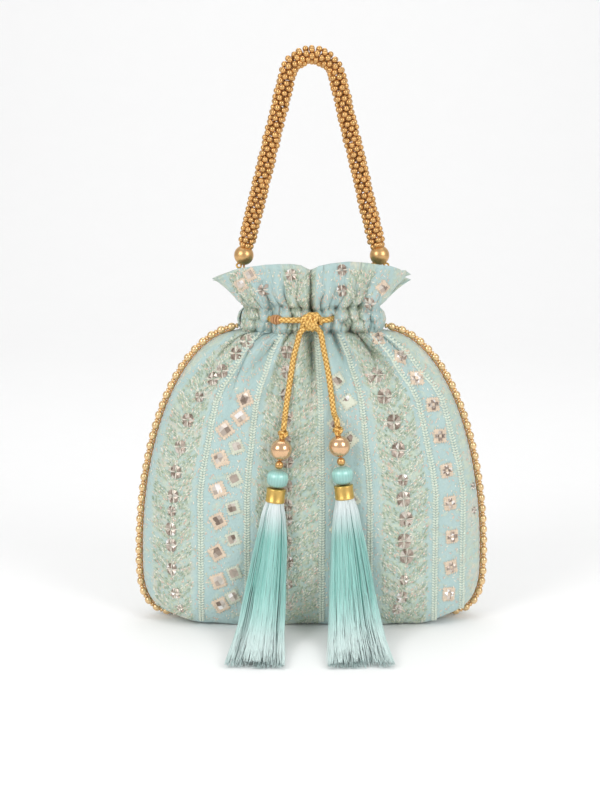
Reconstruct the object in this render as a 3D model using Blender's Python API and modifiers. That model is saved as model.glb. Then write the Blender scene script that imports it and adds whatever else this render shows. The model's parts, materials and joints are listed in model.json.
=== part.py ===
"""Potli bag: a gathered drawstring pouch with a woven bead handle and two tassels.

Metres, +Z up, +X to the bag's right as seen from the front, and the front faces -Y.
The origin is the middle of the foot, and the bag stands on z = 0.
"""
import math
from collections import namedtuple

import bmesh
import bpy
from mathutils import Matrix, Vector

# Clearance between pieces that touch
GAP = 0.0003

# Embroidered panels, front and back, joined at the side and bottom seams
WALL = 0.0012
BELLY_HALF_WIDTH = 0.0915
BELLY_DEPTH = 0.025
SEAM_BELLY_HEIGHT = 0.034
FRONT_BELLY_HEIGHT = 0.036
FOOT_HALF_WIDTH = 0.072
FOOT_DEPTH = 0.013
FOOT_INNER_DEPTH = 0.0065
FOOT_INSETS = (0.012, 0.009, 0.006, 0.003)
NOTCH_ANGLES = (math.radians(60), math.radians(110))
NOTCH_EASE = 1.3
NOTCH_INSET_TURN = 0.55
FOOT_EDGE_INSET_SHARES = (0.3, 0.95)
CORNER_POWER = 0.9
SEAM_CORNER_POWER = 2 / 3
FOOT_SQUARENESS = 8.0
BELLY_SQUARENESS = 2.6
NECK_SQUARENESS = 3.4
BULGE_ROOT = 0.59
LIFT_START = 0.72
LIFT_POWER = 3
SIDE_COLUMN_SHARE = 0.92

# Gathered neck, the drawstring casing and the ruffle above it
NECK_HALF_WIDTH = 0.0372
NECK_DEPTH = 0.0128
NECK_HEIGHT = 0.1585
CASING_HEIGHT = 0.016
CASING_PUFF_WIDTH = 0.0026
CASING_PUFF_DEPTH = 0.0022
RUFFLE_HEIGHT = 0.0208
RUFFLE_TIP_HALF_WIDTH = 0.0525
RUFFLE_TIP_DROP = 0.0088
RIM_DEPTH = 0.0125
RIM_NOTCH = 0.0034
RIM_NOTCH_FADE = 4
RUFFLE_FLARE = 0.8
BACK_RIM_DROP = 0.0045

# Pleats: where the gathers fold in, as shares of the half width, and how deep they are
FRONT_FOLDS = (-0.80, -0.57, -0.28, 0.0, 0.26, 0.52, 0.78)
BACK_FOLDS = (-0.76, -0.50, -0.24, 0.04, 0.30, 0.55, 0.80)
PLEAT_AT_BELLY = 0.0004
PLEAT_AT_NECK = 0.0028
PLEAT_AT_CASING = 0.0030
PLEAT_AT_RIM = 0.0032
PUFF_MEAN = 0.6
PLEAT_GROWTH = 3
FRONT_POINTS_PER_PLEAT = 4
BACK_POINTS_PER_PLEAT = 3

# Satin lining
LINING_WALL = 0.0008
LINING_FLOOR = 0.0075
LINING_FLOOR_WIDTH = 0.88
LINING_FLOOR_DEPTH = 0.72
LINING_TOP_SHARE = 0.35
LINING_EASE = 0.0011
LINING_SIDES = 11

# Bead trim round the seam
TRIM_BEAD_RADIUS = 0.00205
TRIM_PITCH = 0.0059
TRIM_WAIST = 0.45
TRIM_SIDES = 5

# Drawstring and its knot
CORD_RADIUS = 0.0016
LEFT_EYELET_X = -0.0218
RIGHT_EYELET_X = 0.0098
EYELET_WIDTH = 0.0092
EYELET_BEND_SHARES = ((1.0, 1.0), (-0.25, -1.5))
KNOT_BEND_SHARES = ((1.4, 0.6), (0.0, 0.3))
EYELET_HEIGHT = 0.0042
KNOT_X = -0.0005
KNOT_HALF = (0.0056, 0.0039, 0.0053)
KNOT_DROP = 0.0008
KNOT_RIDGE = 0.09
KNOT_SINK = 0.0001
KNOT_WRAPS = 4
KNOT_WRAP_TURN = 5
CORD_STEP = 0.0052
CHANNEL_LEFT_SHARES = (-0.78, -0.92)
CHANNEL_BACK_SHARES = (-0.92, -0.7, -0.35, 0.0, 0.35, 0.7, 0.92)
CHANNEL_RIGHT_SHARES = (0.92, 0.72, 0.5)

# Tassels
END_KNOT_RADIUS = 0.0029
END_KNOT_HEIGHT = 0.0042
END_KNOT_GROOVE = 0.86
PEARL_RADIUS = 0.00565
SPACER_RADIUS = 0.0022
SATIN_RADIUS = 0.00565
SATIN_HEIGHT = 0.0096
FERRULE_RADIUS = 0.00505
FERRULE_HEIGHT = 0.0074
FERRULE_LIP = 0.0004
THREAD_RADIUS = 0.0005
SKIRT_TOP_RADIUS = 0.0044
SKIRT_TIP_HALF_THICKNESS = 0.0019
SKIRT_TUCK = 0.0008
SKIRT_SIDES = 14
SKIRT_STEP = 0.0085
SKIRT_GROOVE = 0.12
CUP_WALL = 0.001
THREAD_SINK_SHARE = 1.6

# Handle
HANDLE_BEAD_RADIUS = 0.00515
HANDLE_BEAD_X = 0.0357
HANDLE_BEAD_RISE = 0.0074
ROPE_RADIUS = 0.0049
ROPE_VALLEY = 0.0037
ROPE_SIDES = 12
ROPE_PITCH = 0.0027
LEG_TILT = math.radians(13.8)
ARCH_RADIUS = 0.01315
LOOP_WIRE_RADIUS = 0.0005
TAB_WIRE_RADIUS = 0.0006
TAB_HALF_WIDTH = 0.0020
TAB_ROUND = 0.0012
TAB_SHOULDER_SHARES = (0.4, 0.25)
LOOP_TOP_SHARE = 0.7
PIVOT_RISE = 0.0163

Row = namedtuple("Row", "half side_z depth mid_z pleat power turn inward_y inward_z notch")

casing_middle = NECK_HEIGHT + CASING_HEIGHT / 2
casing_top = NECK_HEIGHT + CASING_HEIGHT
casing_depth = NECK_DEPTH + CASING_PUFF_DEPTH
pivot_z = casing_top + PIVOT_RISE
handle_bead_z = pivot_z + HANDLE_BEAD_RISE
trim_offset = TRIM_BEAD_RADIUS + GAP
seam_floor = 2 * trim_offset + GAP / 2


def clear_scene():
    for item in list(bpy.data.objects):
        bpy.data.objects.remove(item, do_unlink=True)


def collection(name):
    made = bpy.data.collections.new(name)
    bpy.context.scene.collection.children.link(made)
    return made


def material(name, colour, roughness, metallic=0.0):
    made = bpy.data.materials.new(name)
    made.use_nodes = True
    shader = made.node_tree.nodes["Principled BSDF"]
    shader.inputs["Base Color"].default_value = (*colour, 1.0)
    shader.inputs["Roughness"].default_value = roughness
    shader.inputs["Metallic"].default_value = metallic
    return made


def add_mesh(name, bm, paint, group, sharp_degrees=40):
    bmesh.ops.recalc_face_normals(bm, faces=bm.faces)
    mesh = bpy.data.meshes.new(name)
    bm.to_mesh(mesh)
    bm.free()
    mesh.materials.append(paint)
    mesh.shade_smooth()
    mesh.set_sharp_from_angle(angle=math.radians(sharp_degrees))
    made = bpy.data.objects.new(name, mesh)
    group.objects.link(made)
    return made


def blend(low, high, share):
    return low + (high - low) * share


def smooth_step(share):
    share = min(max(share, 0.0), 1.0)
    return share * share * (3 - 2 * share)


def smooth_route(points, step):
    """A Catmull-Rom curve through the points, read about every step along it."""
    points = [Vector(p) for p in points]
    padded = [2 * points[0] - points[1]] + points + [2 * points[-1] - points[-2]]
    route = []
    for a, b, c, d in zip(padded, padded[1:], padded[2:], padded[3:]):
        count = max(1, round((c - b).length / step))
        for i in range(count):
            t = i / count
            bend = (2 * a - 5 * b + 4 * c - d) * t * t + (3 * b - a - 3 * c + d) * t ** 3
            route.append(b + ((c - a) * t + bend) / 2)
    route.append(points[-1])
    return route


def tube(name, route, radius, paint, group, bevel_resolution=1):
    curve = bpy.data.curves.new(name, "CURVE")
    curve.dimensions = "3D"
    curve.bevel_depth = radius
    curve.bevel_resolution = bevel_resolution
    curve.use_fill_caps = True
    spline = curve.splines.new("POLY")
    spline.points.add(len(route) - 1)
    for point, place in zip(spline.points, route):
        point.co = (*place, 1.0)
    curve.materials.append(paint)
    made = bpy.data.objects.new(name, curve)
    group.objects.link(made)
    return made


def loft(rings):
    """Joins equal rings of points into one closed skin, with a flat face at each end."""
    bm = bmesh.new()
    loops = [[bm.verts.new(p) for p in ring] for ring in rings]
    sides = len(loops[0])
    for low, high in zip(loops, loops[1:]):
        for i in range(sides):
            j = (i + 1) % sides
            bm.faces.new((low[i], low[j], high[j], high[i]))
    bm.faces.new(list(reversed(loops[0])))
    bm.faces.new(loops[-1])
    return bm


def turned(name, profile, paint, group, steps, place):
    """Spins a closed outline, given as radius and height down its outer side, about Z."""
    mesh = bpy.data.meshes.new(name)
    bm = bmesh.new()
    verts = [bm.verts.new((radius, 0.0, height)) for radius, height in profile]
    for a, b in zip(verts, verts[1:] + verts[:1]):
        bm.edges.new((a, b))
    bm.to_mesh(mesh)
    bm.free()
    mesh.materials.append(paint)
    made = bpy.data.objects.new(name, mesh)
    group.objects.link(made)
    screw = made.modifiers.new("Turn", "SCREW")
    screw.steps = steps
    screw.render_steps = steps
    screw.use_merge_vertices = True
    screw.merge_threshold = 0.00001
    screw.use_normal_calculate = True
    made.matrix_world = place
    return made


def arc_profile(radius, bore, half_height, points):
    """Outline of a bored bead: its round outside from top to bottom, then its straight bore."""
    edge = math.asin(bore / radius)
    outline = []
    for i in range(points):
        angle = blend(edge, math.pi - edge, i / (points - 1))
        outline.append((radius * math.sin(angle), half_height * math.cos(angle) / math.cos(edge)))
    return outline


def seam_corner(turn):
    """Side seam as it turns up from the foot, 0 at the foot and a right angle at the belly."""
    half = blend(FOOT_HALF_WIDTH, BELLY_HALF_WIDTH, math.sin(turn) ** SEAM_CORNER_POWER)
    rise = 1 - max(math.cos(turn), 0.0) ** SEAM_CORNER_POWER
    return half, blend(seam_floor, SEAM_BELLY_HEIGHT, rise)


def seam_shoulder(turn):
    """Side seam from the belly, at 0, to the neck, at a right angle."""
    half = blend(NECK_HALF_WIDTH, BELLY_HALF_WIDTH, math.cos(turn))
    return half, blend(SEAM_BELLY_HEIGHT, NECK_HEIGHT, math.sin(turn))


def foot_rows():
    """From the bottom seam round the bead string to the flat foot."""
    reach = NOTCH_EASE * trim_offset
    halves = [FOOT_HALF_WIDTH - inset for inset in FOOT_INSETS]
    rows = [Row(halves[0], seam_floor, 0.0, seam_floor, 0.0, FOOT_SQUARENESS, 0.0, 0.0, 1.0, 0.0)]
    for half, angle in zip(halves[1:], NOTCH_ANGLES):
        depth = reach * math.sin(angle)
        height = trim_offset + reach * math.cos(angle)
        inward = (math.sin(angle * NOTCH_INSET_TURN), math.cos(angle * NOTCH_INSET_TURN))
        rows.append(Row(half, seam_floor, depth, height, 0.0, FOOT_SQUARENESS, 0.0, *inward, 0.0))
    edge = (halves[-1], seam_floor, FOOT_INNER_DEPTH, 0.0)
    rows.append(Row(*edge, 0.0, FOOT_SQUARENESS, 0.0, *FOOT_EDGE_INSET_SHARES, 0.0))
    return rows


def corner_rows(count=4):
    """From the foot's front edge up round the corner to the belly."""
    rows = []
    for i in range(count + 1):
        turn = math.radians(90) * i / count
        half, side_z = seam_corner(turn)
        depth = blend(FOOT_DEPTH, BELLY_DEPTH, math.sin(turn) ** CORNER_POWER)
        mid_z = FRONT_BELLY_HEIGHT * (1 - max(math.cos(turn), 0.0) ** CORNER_POWER)
        power = blend(FOOT_SQUARENESS, BELLY_SQUARENESS, smooth_step(i / count))
        pleat = PLEAT_AT_BELLY * i / count
        inward = (-math.sin(turn), math.cos(turn))
        rows.append(Row(half, side_z, depth, mid_z, pleat, power, turn, *inward, 0.0))
    return rows


def shoulder_rows(count=7):
    """From just above the belly to the neck."""
    rows = []
    for i in range(1, count + 1):
        turn = math.radians(90) * i / count
        half, side_z = seam_shoulder(turn)
        rise = math.sin(turn)
        depth = blend(BELLY_DEPTH, NECK_DEPTH, rise * rise)
        mid_z = blend(FRONT_BELLY_HEIGHT, NECK_HEIGHT, rise)
        pleat = blend(PLEAT_AT_BELLY, PLEAT_AT_NECK, rise ** PLEAT_GROWTH)
        power = blend(BELLY_SQUARENESS, NECK_SQUARENESS, rise)
        rows.append(Row(half, side_z, depth, mid_z, pleat, power, math.pi / 2, -1.0, 0.0, 0.0))
    return rows


def casing_rows(count=4):
    """The puffed band that the drawstring runs in, between its two lines of gathers."""
    rows = []
    for i in range(1, count + 1):
        share = i / count
        puff = math.sin(math.pi * share)
        half = NECK_HALF_WIDTH + CASING_PUFF_WIDTH * puff
        depth = NECK_DEPTH + CASING_PUFF_DEPTH * puff
        pleat = blend(PLEAT_AT_NECK, PLEAT_AT_CASING, puff)
        height = NECK_HEIGHT + CASING_HEIGHT * share
        rows.append(Row(half, height, depth, height, pleat, NECK_SQUARENESS, math.pi / 2, -1.0, 0.0, 0.0))
    return rows


def ruffle_rows(rim_drop=0.0, count=3):
    """The ruffle above the casing, which fans out to its two side tips."""
    rows = []
    for i in range(1, count + 1):
        share = i / count
        half = blend(NECK_HALF_WIDTH, RUFFLE_TIP_HALF_WIDTH, share ** RUFFLE_FLARE)
        depth = blend(NECK_DEPTH, RIM_DEPTH, share)
        pleat = blend(PLEAT_AT_NECK, PLEAT_AT_RIM, share)
        mid_z = casing_top + (RUFFLE_HEIGHT - rim_drop) * share
        side_z = mid_z - RUFFLE_TIP_DROP * share + rim_drop * share
        notch = RIM_NOTCH * share
        rows.append(Row(half, side_z, depth, mid_z, pleat, NECK_SQUARENESS, math.pi / 2, -1.0, 0.0, notch))
    return rows


def panel_rows(rim_drop=0.0):
    return foot_rows() + corner_rows() + shoulder_rows() + casing_rows() + ruffle_rows(rim_drop)


def puff_at(share, folds):
    """0 in the bottom of a fold and 1 on the crown between two folds."""
    stops = (-1.0, *folds, 1.0)
    for low, high in zip(stops, stops[1:]):
        if low <= share <= high:
            along = (share - low) / (high - low)
            return math.sqrt(max(0.0, 4 * along * (1 - along)))
    return 0.0


def lift_at(share, row):
    """How far a point has climbed from the middle's height to the side seam's height."""
    if row.turn < math.pi / 2:
        return smooth_step((abs(share) - LIFT_START) / (1 - LIFT_START))
    return abs(share) ** LIFT_POWER


def bulge_at(share, power):
    return max(0.0, 1 - abs(share) ** power) ** BULGE_ROOT


def panel_point(row, share, folds, inset):
    """A point of the front panel's skin, or of the skin at a depth of inset inside it."""
    puff = puff_at(share, folds)
    lift = lift_at(share, row)
    depth = row.depth + row.pleat * (puff - PUFF_MEAN) + row.inward_y * inset
    x = (row.half - inset * math.sin(row.turn)) * share
    y = -(GAP / 2 + bulge_at(share, row.power) * depth)
    rise = blend(row.inward_z, math.cos(row.turn), lift) * inset
    notch = row.notch * (1 - puff) * (1 - abs(share)) ** RIM_NOTCH_FADE
    z = blend(row.mid_z, row.side_z, lift) + rise - notch
    return Vector((x, y, z))


def pleat_columns(folds, per_pleat):
    """Shares of the half width at which a panel has its columns, closer beside the seams."""
    stops = (-1.0, *folds, 1.0)
    columns = []
    for low, high in zip(stops, stops[1:]):
        for i in range(per_pleat):
            columns.append(blend(low, high, i / per_pleat))
    columns.append(1.0)
    side = blend(folds[-1], 1.0, SIDE_COLUMN_SHARE)
    return [-side if i == 1 else c for i, c in enumerate(columns[:-2])] + [side, 1.0]


def panel(name, folds, per_pleat, rim_drop, facing, paint, group):
    """A pleated shell: an outer and an inner skin, joined along the seam and the rim."""
    rows = panel_rows(rim_drop)
    columns = pleat_columns(folds, per_pleat)
    bm = bmesh.new()
    skins = []
    for inset in (0.0, WALL):
        skin = []
        for row in rows:
            points = [panel_point(row, share, folds, inset) for share in columns]
            skin.append([bm.verts.new((p.x, p.y * facing, p.z)) for p in points])
        skins.append(skin)
    for skin in skins:
        for low, high in zip(skin, skin[1:]):
            for i in range(len(columns) - 1):
                bm.faces.new((low[i], low[i + 1], high[i + 1], high[i]))
    outer, inner = skins
    last = len(columns) - 1
    for i in range(last):
        bm.faces.new((outer[0][i], inner[0][i], inner[0][i + 1], outer[0][i + 1]))
        bm.faces.new((outer[-1][i], outer[-1][i + 1], inner[-1][i + 1], inner[-1][i]))
    for i in range(len(rows) - 1):
        for side in (0, last):
            a, b = outer[i][side], outer[i + 1][side]
            c, d = inner[i + 1][side], inner[i][side]
            bm.faces.new((a, b, c, d))
    return add_mesh(name, bm, paint, group)


def cut(target, cutter):
    modifier = target.modifiers.new("Cut", "BOOLEAN")
    modifier.operation = "DIFFERENCE"
    modifier.solver = "EXACT"
    modifier.object = cutter


def eyelet_cutter(name, x, group):
    """A plug through the front of the casing, as wide and high as a buttonhole."""
    bm = bmesh.new()
    bmesh.ops.create_cube(bm, size=1.0)
    bmesh.ops.scale(bm, vec=(EYELET_WIDTH, casing_depth, EYELET_HEIGHT), verts=bm.verts)
    mesh = bpy.data.meshes.new(name)
    bm.to_mesh(mesh)
    bm.free()
    made = bpy.data.objects.new(name, mesh)
    made.location = (x, -casing_depth, casing_middle)
    made.hide_render = True
    made.display_type = "WIRE"
    group.objects.link(made)
    return made


def crease_inside(row):
    """How far the deepest fold of a panel's inner skin lies from the seam plane."""
    return row.depth - PUFF_MEAN * row.pleat - WALL


def lining_rows():
    """Half width, side height, depth, middle height and power of the lining's outer skin."""
    channel = 2 * CORD_RADIUS + GAP + LINING_EASE
    levels = []
    for row in corner_rows()[2:] + shoulder_rows(5):
        half = row.half - WALL - GAP - LINING_EASE
        levels.append((half, row.side_z, crease_inside(row) - GAP - LINING_EASE, row.mid_z, row.power))
    for row in casing_rows()[1:2]:
        half = row.half - WALL - GAP - channel
        levels[-1] = (half, NECK_HEIGHT, crease_inside(row) - GAP - channel, NECK_HEIGHT, row.power)
        levels.append((half, casing_top, crease_inside(row) - GAP - channel, casing_top, row.power))
    low, high = ruffle_rows(BACK_RIM_DROP)[0:2]
    share = LINING_TOP_SHARE
    half = blend(low.half, high.half, share) - WALL - GAP
    depth = blend(crease_inside(low), crease_inside(high), share) - GAP
    height = blend(low.mid_z, high.mid_z, share)
    side = blend(low.side_z, high.side_z, share)
    levels.append((half, side, depth, height, low.power))
    return levels


def lining_ring(half, side_z, depth, mid_z, power, inset):
    front = []
    for i in range(LINING_SIDES):
        share = -math.cos(math.pi * i / LINING_SIDES)
        lift = abs(share) ** LIFT_POWER
        y = -bulge_at(share, power) * (depth - inset)
        front.append(Vector(((half - inset) * share, y, blend(mid_z, side_z, lift))))
    back = [Vector((-p.x, -p.y, p.z)) for p in front]
    return front + back


def lining(paint, group):
    """A plain inner pouch, open at the top, that hangs clear of the pleats."""
    levels = lining_rows()
    half, _, depth, _, power = levels[0]
    floor = (half * LINING_FLOOR_WIDTH, LINING_FLOOR, depth * LINING_FLOOR_DEPTH, LINING_FLOOR, power)
    outer = [lining_ring(*level, 0.0) for level in [floor] + levels]
    inner = [lining_ring(*level, LINING_WALL) for level in [floor] + levels]
    for point in inner[0]:
        point.z += LINING_WALL
    return add_mesh("lining", loft(outer + list(reversed(inner))), paint, group)


def seam_outline():
    """Points of the seam in the XZ plane, from the left neck under the foot to the right neck."""
    steps = 40
    right = [seam_corner(math.radians(90) * i / steps) for i in range(steps)]
    right += [seam_shoulder(math.radians(90) * i / steps) for i in range(steps + 1)]
    left = [(-x, z) for x, z in reversed(right)]
    return [Vector((x, 0.0, z)) for x, z in left + right]


def evenly(points, count):
    """Reads count + 1 places at equal distances along a line of points, with their directions."""
    lengths = [0.0]
    for a, b in zip(points, points[1:]):
        lengths.append(lengths[-1] + (b - a).length)
    places = []
    index = 0
    for i in range(count + 1):
        wanted = lengths[-1] * i / count
        while index < len(points) - 2 and lengths[index + 1] < wanted:
            index += 1
        span = lengths[index + 1] - lengths[index]
        direction = (points[index + 1] - points[index]).normalized()
        places.append((points[index].lerp(points[index + 1], (wanted - lengths[index]) / span), direction))
    return places


def trim_line():
    """The bead string's middle line, just outside the seam."""
    seam = seam_outline()
    line = []
    for before, here, after in zip(seam, seam[1:], seam[2:]):
        along = (after - before).normalized()
        line.append(here + Vector((along.z, 0.0, -along.x)) * trim_offset)
    return [p if p.z > trim_offset else Vector((p.x, 0.0, trim_offset)) for p in line]


def length_of(points):
    return sum((b - a).length for a, b in zip(points, points[1:]))


def seam_trim(paint, group):
    """A string of beads along the seam, as one knobbly rope."""
    line = trim_line()
    beads = round(length_of(line) / TRIM_PITCH)
    rings = []
    for index, (place, along) in enumerate(evenly(line, 3 * beads)):
        radius = TRIM_BEAD_RADIUS * (TRIM_WAIST if index % 3 == 0 else 1.0)
        side = Vector((-along.z, 0.0, along.x))
        ring = []
        for i in range(TRIM_SIDES):
            angle = 2 * math.pi * (i + 0.5) / TRIM_SIDES
            ring.append(place + (side * math.cos(angle) + Vector((0, 1, 0)) * math.sin(angle)) * radius)
        rings.append(ring)
    return add_mesh("seam_bead_trim", loft(rings), paint, group, sharp_degrees=80)


def casing_row():
    return casing_rows()[1]


def channel_point(share, side):
    """A point of the drawstring's run inside the casing; side is -1 in front and 1 behind."""
    row = casing_row()
    half = row.half - WALL - GAP - CORD_RADIUS
    depth = crease_inside(row) - GAP - CORD_RADIUS
    return Vector((half * share, side * bulge_at(share, row.power) * depth, casing_middle))


def knot_centre():
    row = casing_row()
    front = row.depth + row.pleat * (1 - PUFF_MEAN)
    return Vector((KNOT_X, -(front + KNOT_HALF[1] - KNOT_SINK), casing_middle - KNOT_DROP))


def drawstring(paint, group):
    """The cord's run: out of the knot, in at one eyelet, round the casing and out at the other."""
    knot = knot_centre()
    z = casing_middle
    front = knot.y + KNOT_DROP / 2
    wall_middle = -casing_depth + WALL / 2
    left_face = knot.x - KNOT_HALF[0] - GAP
    right_face = knot.x + KNOT_HALF[0] + GAP
    inside_left = [channel_point(s, -1) for s in CHANNEL_LEFT_SHARES]
    behind = [channel_point(s, 1) for s in CHANNEL_BACK_SHARES]
    inside_right = [channel_point(s, -1) for s in CHANNEL_RIGHT_SHARES]
    half = channel_point(1, 1).x
    route = [(left_face, front, z), (left_face - KNOT_HALF[0], front, z)]
    route += [(LEFT_EYELET_X + EYELET_HEIGHT, front + CORD_RADIUS, z), (LEFT_EYELET_X, wall_middle, z)]
    route += inside_left + [(-half, 0.0, z)] + behind + [(half, 0.0, z)] + inside_right
    r = CORD_RADIUS
    route += [(RIGHT_EYELET_X + x * r, wall_middle + y * r, z) for x, y in EYELET_BEND_SHARES]
    route += [(right_face + x * r, front + y * r, z) for x, y in KNOT_BEND_SHARES]
    return tube("drawstring", smooth_route(route, CORD_STEP), CORD_RADIUS, paint, group)


def knot(paint, group):
    """The tied lump in front of the casing, ridged where the cord wraps round."""
    bm = bmesh.new()
    bmesh.ops.create_uvsphere(bm, u_segments=16, v_segments=10, radius=1.0)
    for vert in bm.verts:
        around = math.atan2(vert.co.z, vert.co.x)
        ridge = 0.5 + 0.5 * math.cos(KNOT_WRAPS * around + KNOT_WRAP_TURN * vert.co.y)
        vert.co *= 1 - KNOT_RIDGE * ridge
        vert.co = Vector(a * b for a, b in zip(vert.co, KNOT_HALF))
    bmesh.ops.translate(bm, vec=knot_centre(), verts=bm.verts)
    return add_mesh("drawstring_knot", bm, paint, group, sharp_degrees=80)


Tassel = namedtuple("Tassel", "side cord pearl lean skirt tip_half_width")

# Cords and pearls are given as x, drop below the casing's middle and distance before the panel.
# Skirts are given as x from their top, distance before the belly and share of their top's height.
TASSELS = (
    Tassel(
        "left",
        ((-0.0061, 0.0067, 0.0070), (-0.0077, 0.0125, 0.0058), (-0.0096, 0.0201, 0.0043),
         (-0.0108, 0.0280, 0.0033), (-0.0124, 0.0385, 0.0030), (-0.0138, 0.0485, 0.0034)),
        (-0.0160, 0.0668, 0.0067), (-0.121, -0.075),
        ((-0.0012, 0.0062, 0.796), (-0.0032, 0.0090, 0.549), (-0.0055, 0.0145, 0.295),
         (-0.0072, 0.0250, 0.130), (-0.0085, 0.0410, 0.066), (-0.0095, 0.0600, 0.033)),
        0.0150),
    Tassel(
        "right",
        ((0.0046, 0.0069, 0.0070), (0.0060, 0.0145, 0.0054), (0.0076, 0.0225, 0.0039),
         (0.0091, 0.0311, 0.0030), (0.0104, 0.0405, 0.0029), (0.0116, 0.0485, 0.0033)),
        (0.0144, 0.0650, 0.0067), (0.104, -0.075),
        ((0.0012, 0.0062, 0.791), (0.0028, 0.0090, 0.550), (0.0044, 0.0145, 0.295),
         (0.0056, 0.0250, 0.127), (0.0065, 0.0410, 0.064), (0.0073, 0.0600, 0.032)),
        0.0170),
)


def hung(place):
    """A point in front of the bag, from its x, drop and distance before the panel's middle."""
    x, drop, stand_off = place
    height = casing_middle - drop
    rise = (height - FRONT_BELLY_HEIGHT) / (NECK_HEIGHT - FRONT_BELLY_HEIGHT)
    face = blend(BELLY_DEPTH, NECK_DEPTH, min(max(rise, 0.0), 1.0) ** 2)
    return Vector((x, -(face + stand_off), height))


def tassel_axis(tassel):
    """Down along the string of beads."""
    return Vector((*tassel.lean, -1.0)).normalized()


def placed(centre, down):
    """A frame at a centre whose Z points up the string of beads."""
    turn = Vector((0, 0, 1)).rotation_difference(-down)
    return Matrix.Translation(centre) @ turn.to_matrix().to_4x4()


def skirt_ring(centre, down, half_width, half_thickness):
    across = Vector((1, 0, 0))
    across = (across - down * across.dot(down)).normalized()
    out = down.cross(across)
    ring = []
    for i in range(SKIRT_SIDES):
        angle = 2 * math.pi * i / SKIRT_SIDES
        groove = 1 - SKIRT_GROOVE * (i % 2)
        offset = across * math.cos(angle) * half_width + out * math.sin(angle) * half_thickness
        ring.append(centre + offset * groove)
    return ring


def skirt(tassel, top, down, paint, group):
    """Silk strands as one fluted bundle, which falls and then spreads on the surface."""
    fall = [Vector((top.x + x, -(BELLY_DEPTH + out), top.z * share)) for x, out, share in tassel.skirt]
    route = smooth_route([top, top + down * SKIRT_TOP_RADIUS] + fall, SKIRT_STEP)
    last = len(route) - 1
    rings = []
    for index, place in enumerate(route):
        share = index / last
        before = route[max(index - 1, 0)]
        after = route[min(index + 1, last)]
        along = (after - before).normalized() if index else down
        width = blend(SKIRT_TOP_RADIUS, tassel.tip_half_width, share)
        thickness = blend(SKIRT_TOP_RADIUS, SKIRT_TIP_HALF_THICKNESS, smooth_step(share))
        rings.append(skirt_ring(place, along, width, thickness))
    return add_mesh(tassel.side + "_tassel_skirt", loft(rings), paint, group, sharp_degrees=80)


def tassel_pieces(tassel, paints, group):
    """Cord end, end knot, pearl, spacer, satin bead, ferrule, thread and skirt, from the top."""
    side = tassel.side
    down = tassel_axis(tassel)
    bore = THREAD_RADIUS + GAP
    pearl = hung(tassel.pearl)
    spacer = pearl + down * (PEARL_RADIUS + GAP + SPACER_RADIUS)
    satin = spacer + down * (SPACER_RADIUS + GAP + SATIN_HEIGHT / 2)
    ferrule = satin + down * (SATIN_HEIGHT / 2 + GAP + FERRULE_HEIGHT / 2)
    end_knot = pearl - down * (PEARL_RADIUS + GAP + END_KNOT_HEIGHT / 2)
    knot_place = placed(end_knot, down)
    turned(side + "_end_knot", end_knot_profile(bore), paints["gold_cord"], group, 12, knot_place)
    pearl_outline = arc_profile(PEARL_RADIUS, bore, PEARL_RADIUS, 9)
    turned(side + "_pearl_bead", pearl_outline, paints["pearl"], group, 16, placed(pearl, down))
    spacer_outline = arc_profile(SPACER_RADIUS, bore, SPACER_RADIUS, 6)
    turned(side + "_spacer_bead", spacer_outline, paints["gold_bead"], group, 12, placed(spacer, down))
    satin_outline = arc_profile(SATIN_RADIUS, bore, SATIN_HEIGHT / 2, 8)
    turned(side + "_satin_bead", satin_outline, paints["satin"], group, 16, placed(satin, down))
    turned(side + "_ferrule", ferrule_profile(bore), paints["ferrule"], group, 16, placed(ferrule, down))
    top = ferrule + down * (FERRULE_HEIGHT / 2 - SKIRT_TUCK)
    thread_end = ferrule - down * (FERRULE_HEIGHT / 2 - CUP_WALL * THREAD_SINK_SHARE)
    thread = [end_knot - down * END_KNOT_HEIGHT / 5, thread_end]
    tube(side + "_tassel_thread", thread, THREAD_RADIUS, paints["gold_cord"], group, 0)
    skirt(tassel, top, down, paints["silk"], group)
    cord_end = end_knot - down * (END_KNOT_HEIGHT / 2 + GAP)
    straight = [cord_end - down * 2 * CORD_RADIUS, cord_end]
    route = smooth_route([hung(place) for place in tassel.cord] + straight, CORD_STEP)
    tube(side + "_cord", route, CORD_RADIUS, paints["gold_cord"], group)


def end_knot_profile(bore):
    """A barrel of three wraps above the pearl."""
    half = END_KNOT_HEIGHT / 2
    groove = END_KNOT_RADIUS * END_KNOT_GROOVE
    edge = END_KNOT_HEIGHT / 25
    outline = [(bore, half)]
    for wrap in range(3):
        top = half - END_KNOT_HEIGHT * wrap / 3
        outline.append((groove, top - edge))
        outline.append((END_KNOT_RADIUS, top - END_KNOT_HEIGHT / 6))
    outline += [(groove, -half + edge), (bore, -half)]
    return outline


def ferrule_profile(bore):
    """A short metal cup, closed round the thread at its top and open below."""
    half = FERRULE_HEIGHT / 2
    inside = SKIRT_TOP_RADIUS + 2 * GAP
    return [
        (bore, half),
        (FERRULE_RADIUS - FERRULE_LIP, half),
        (FERRULE_RADIUS, half - FERRULE_LIP),
        (FERRULE_RADIUS, FERRULE_LIP - half),
        (FERRULE_RADIUS - FERRULE_LIP / 2, -half),
        (inside, -half),
        (inside, half - CUP_WALL),
        (bore, half - CUP_WALL),
    ]


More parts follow.
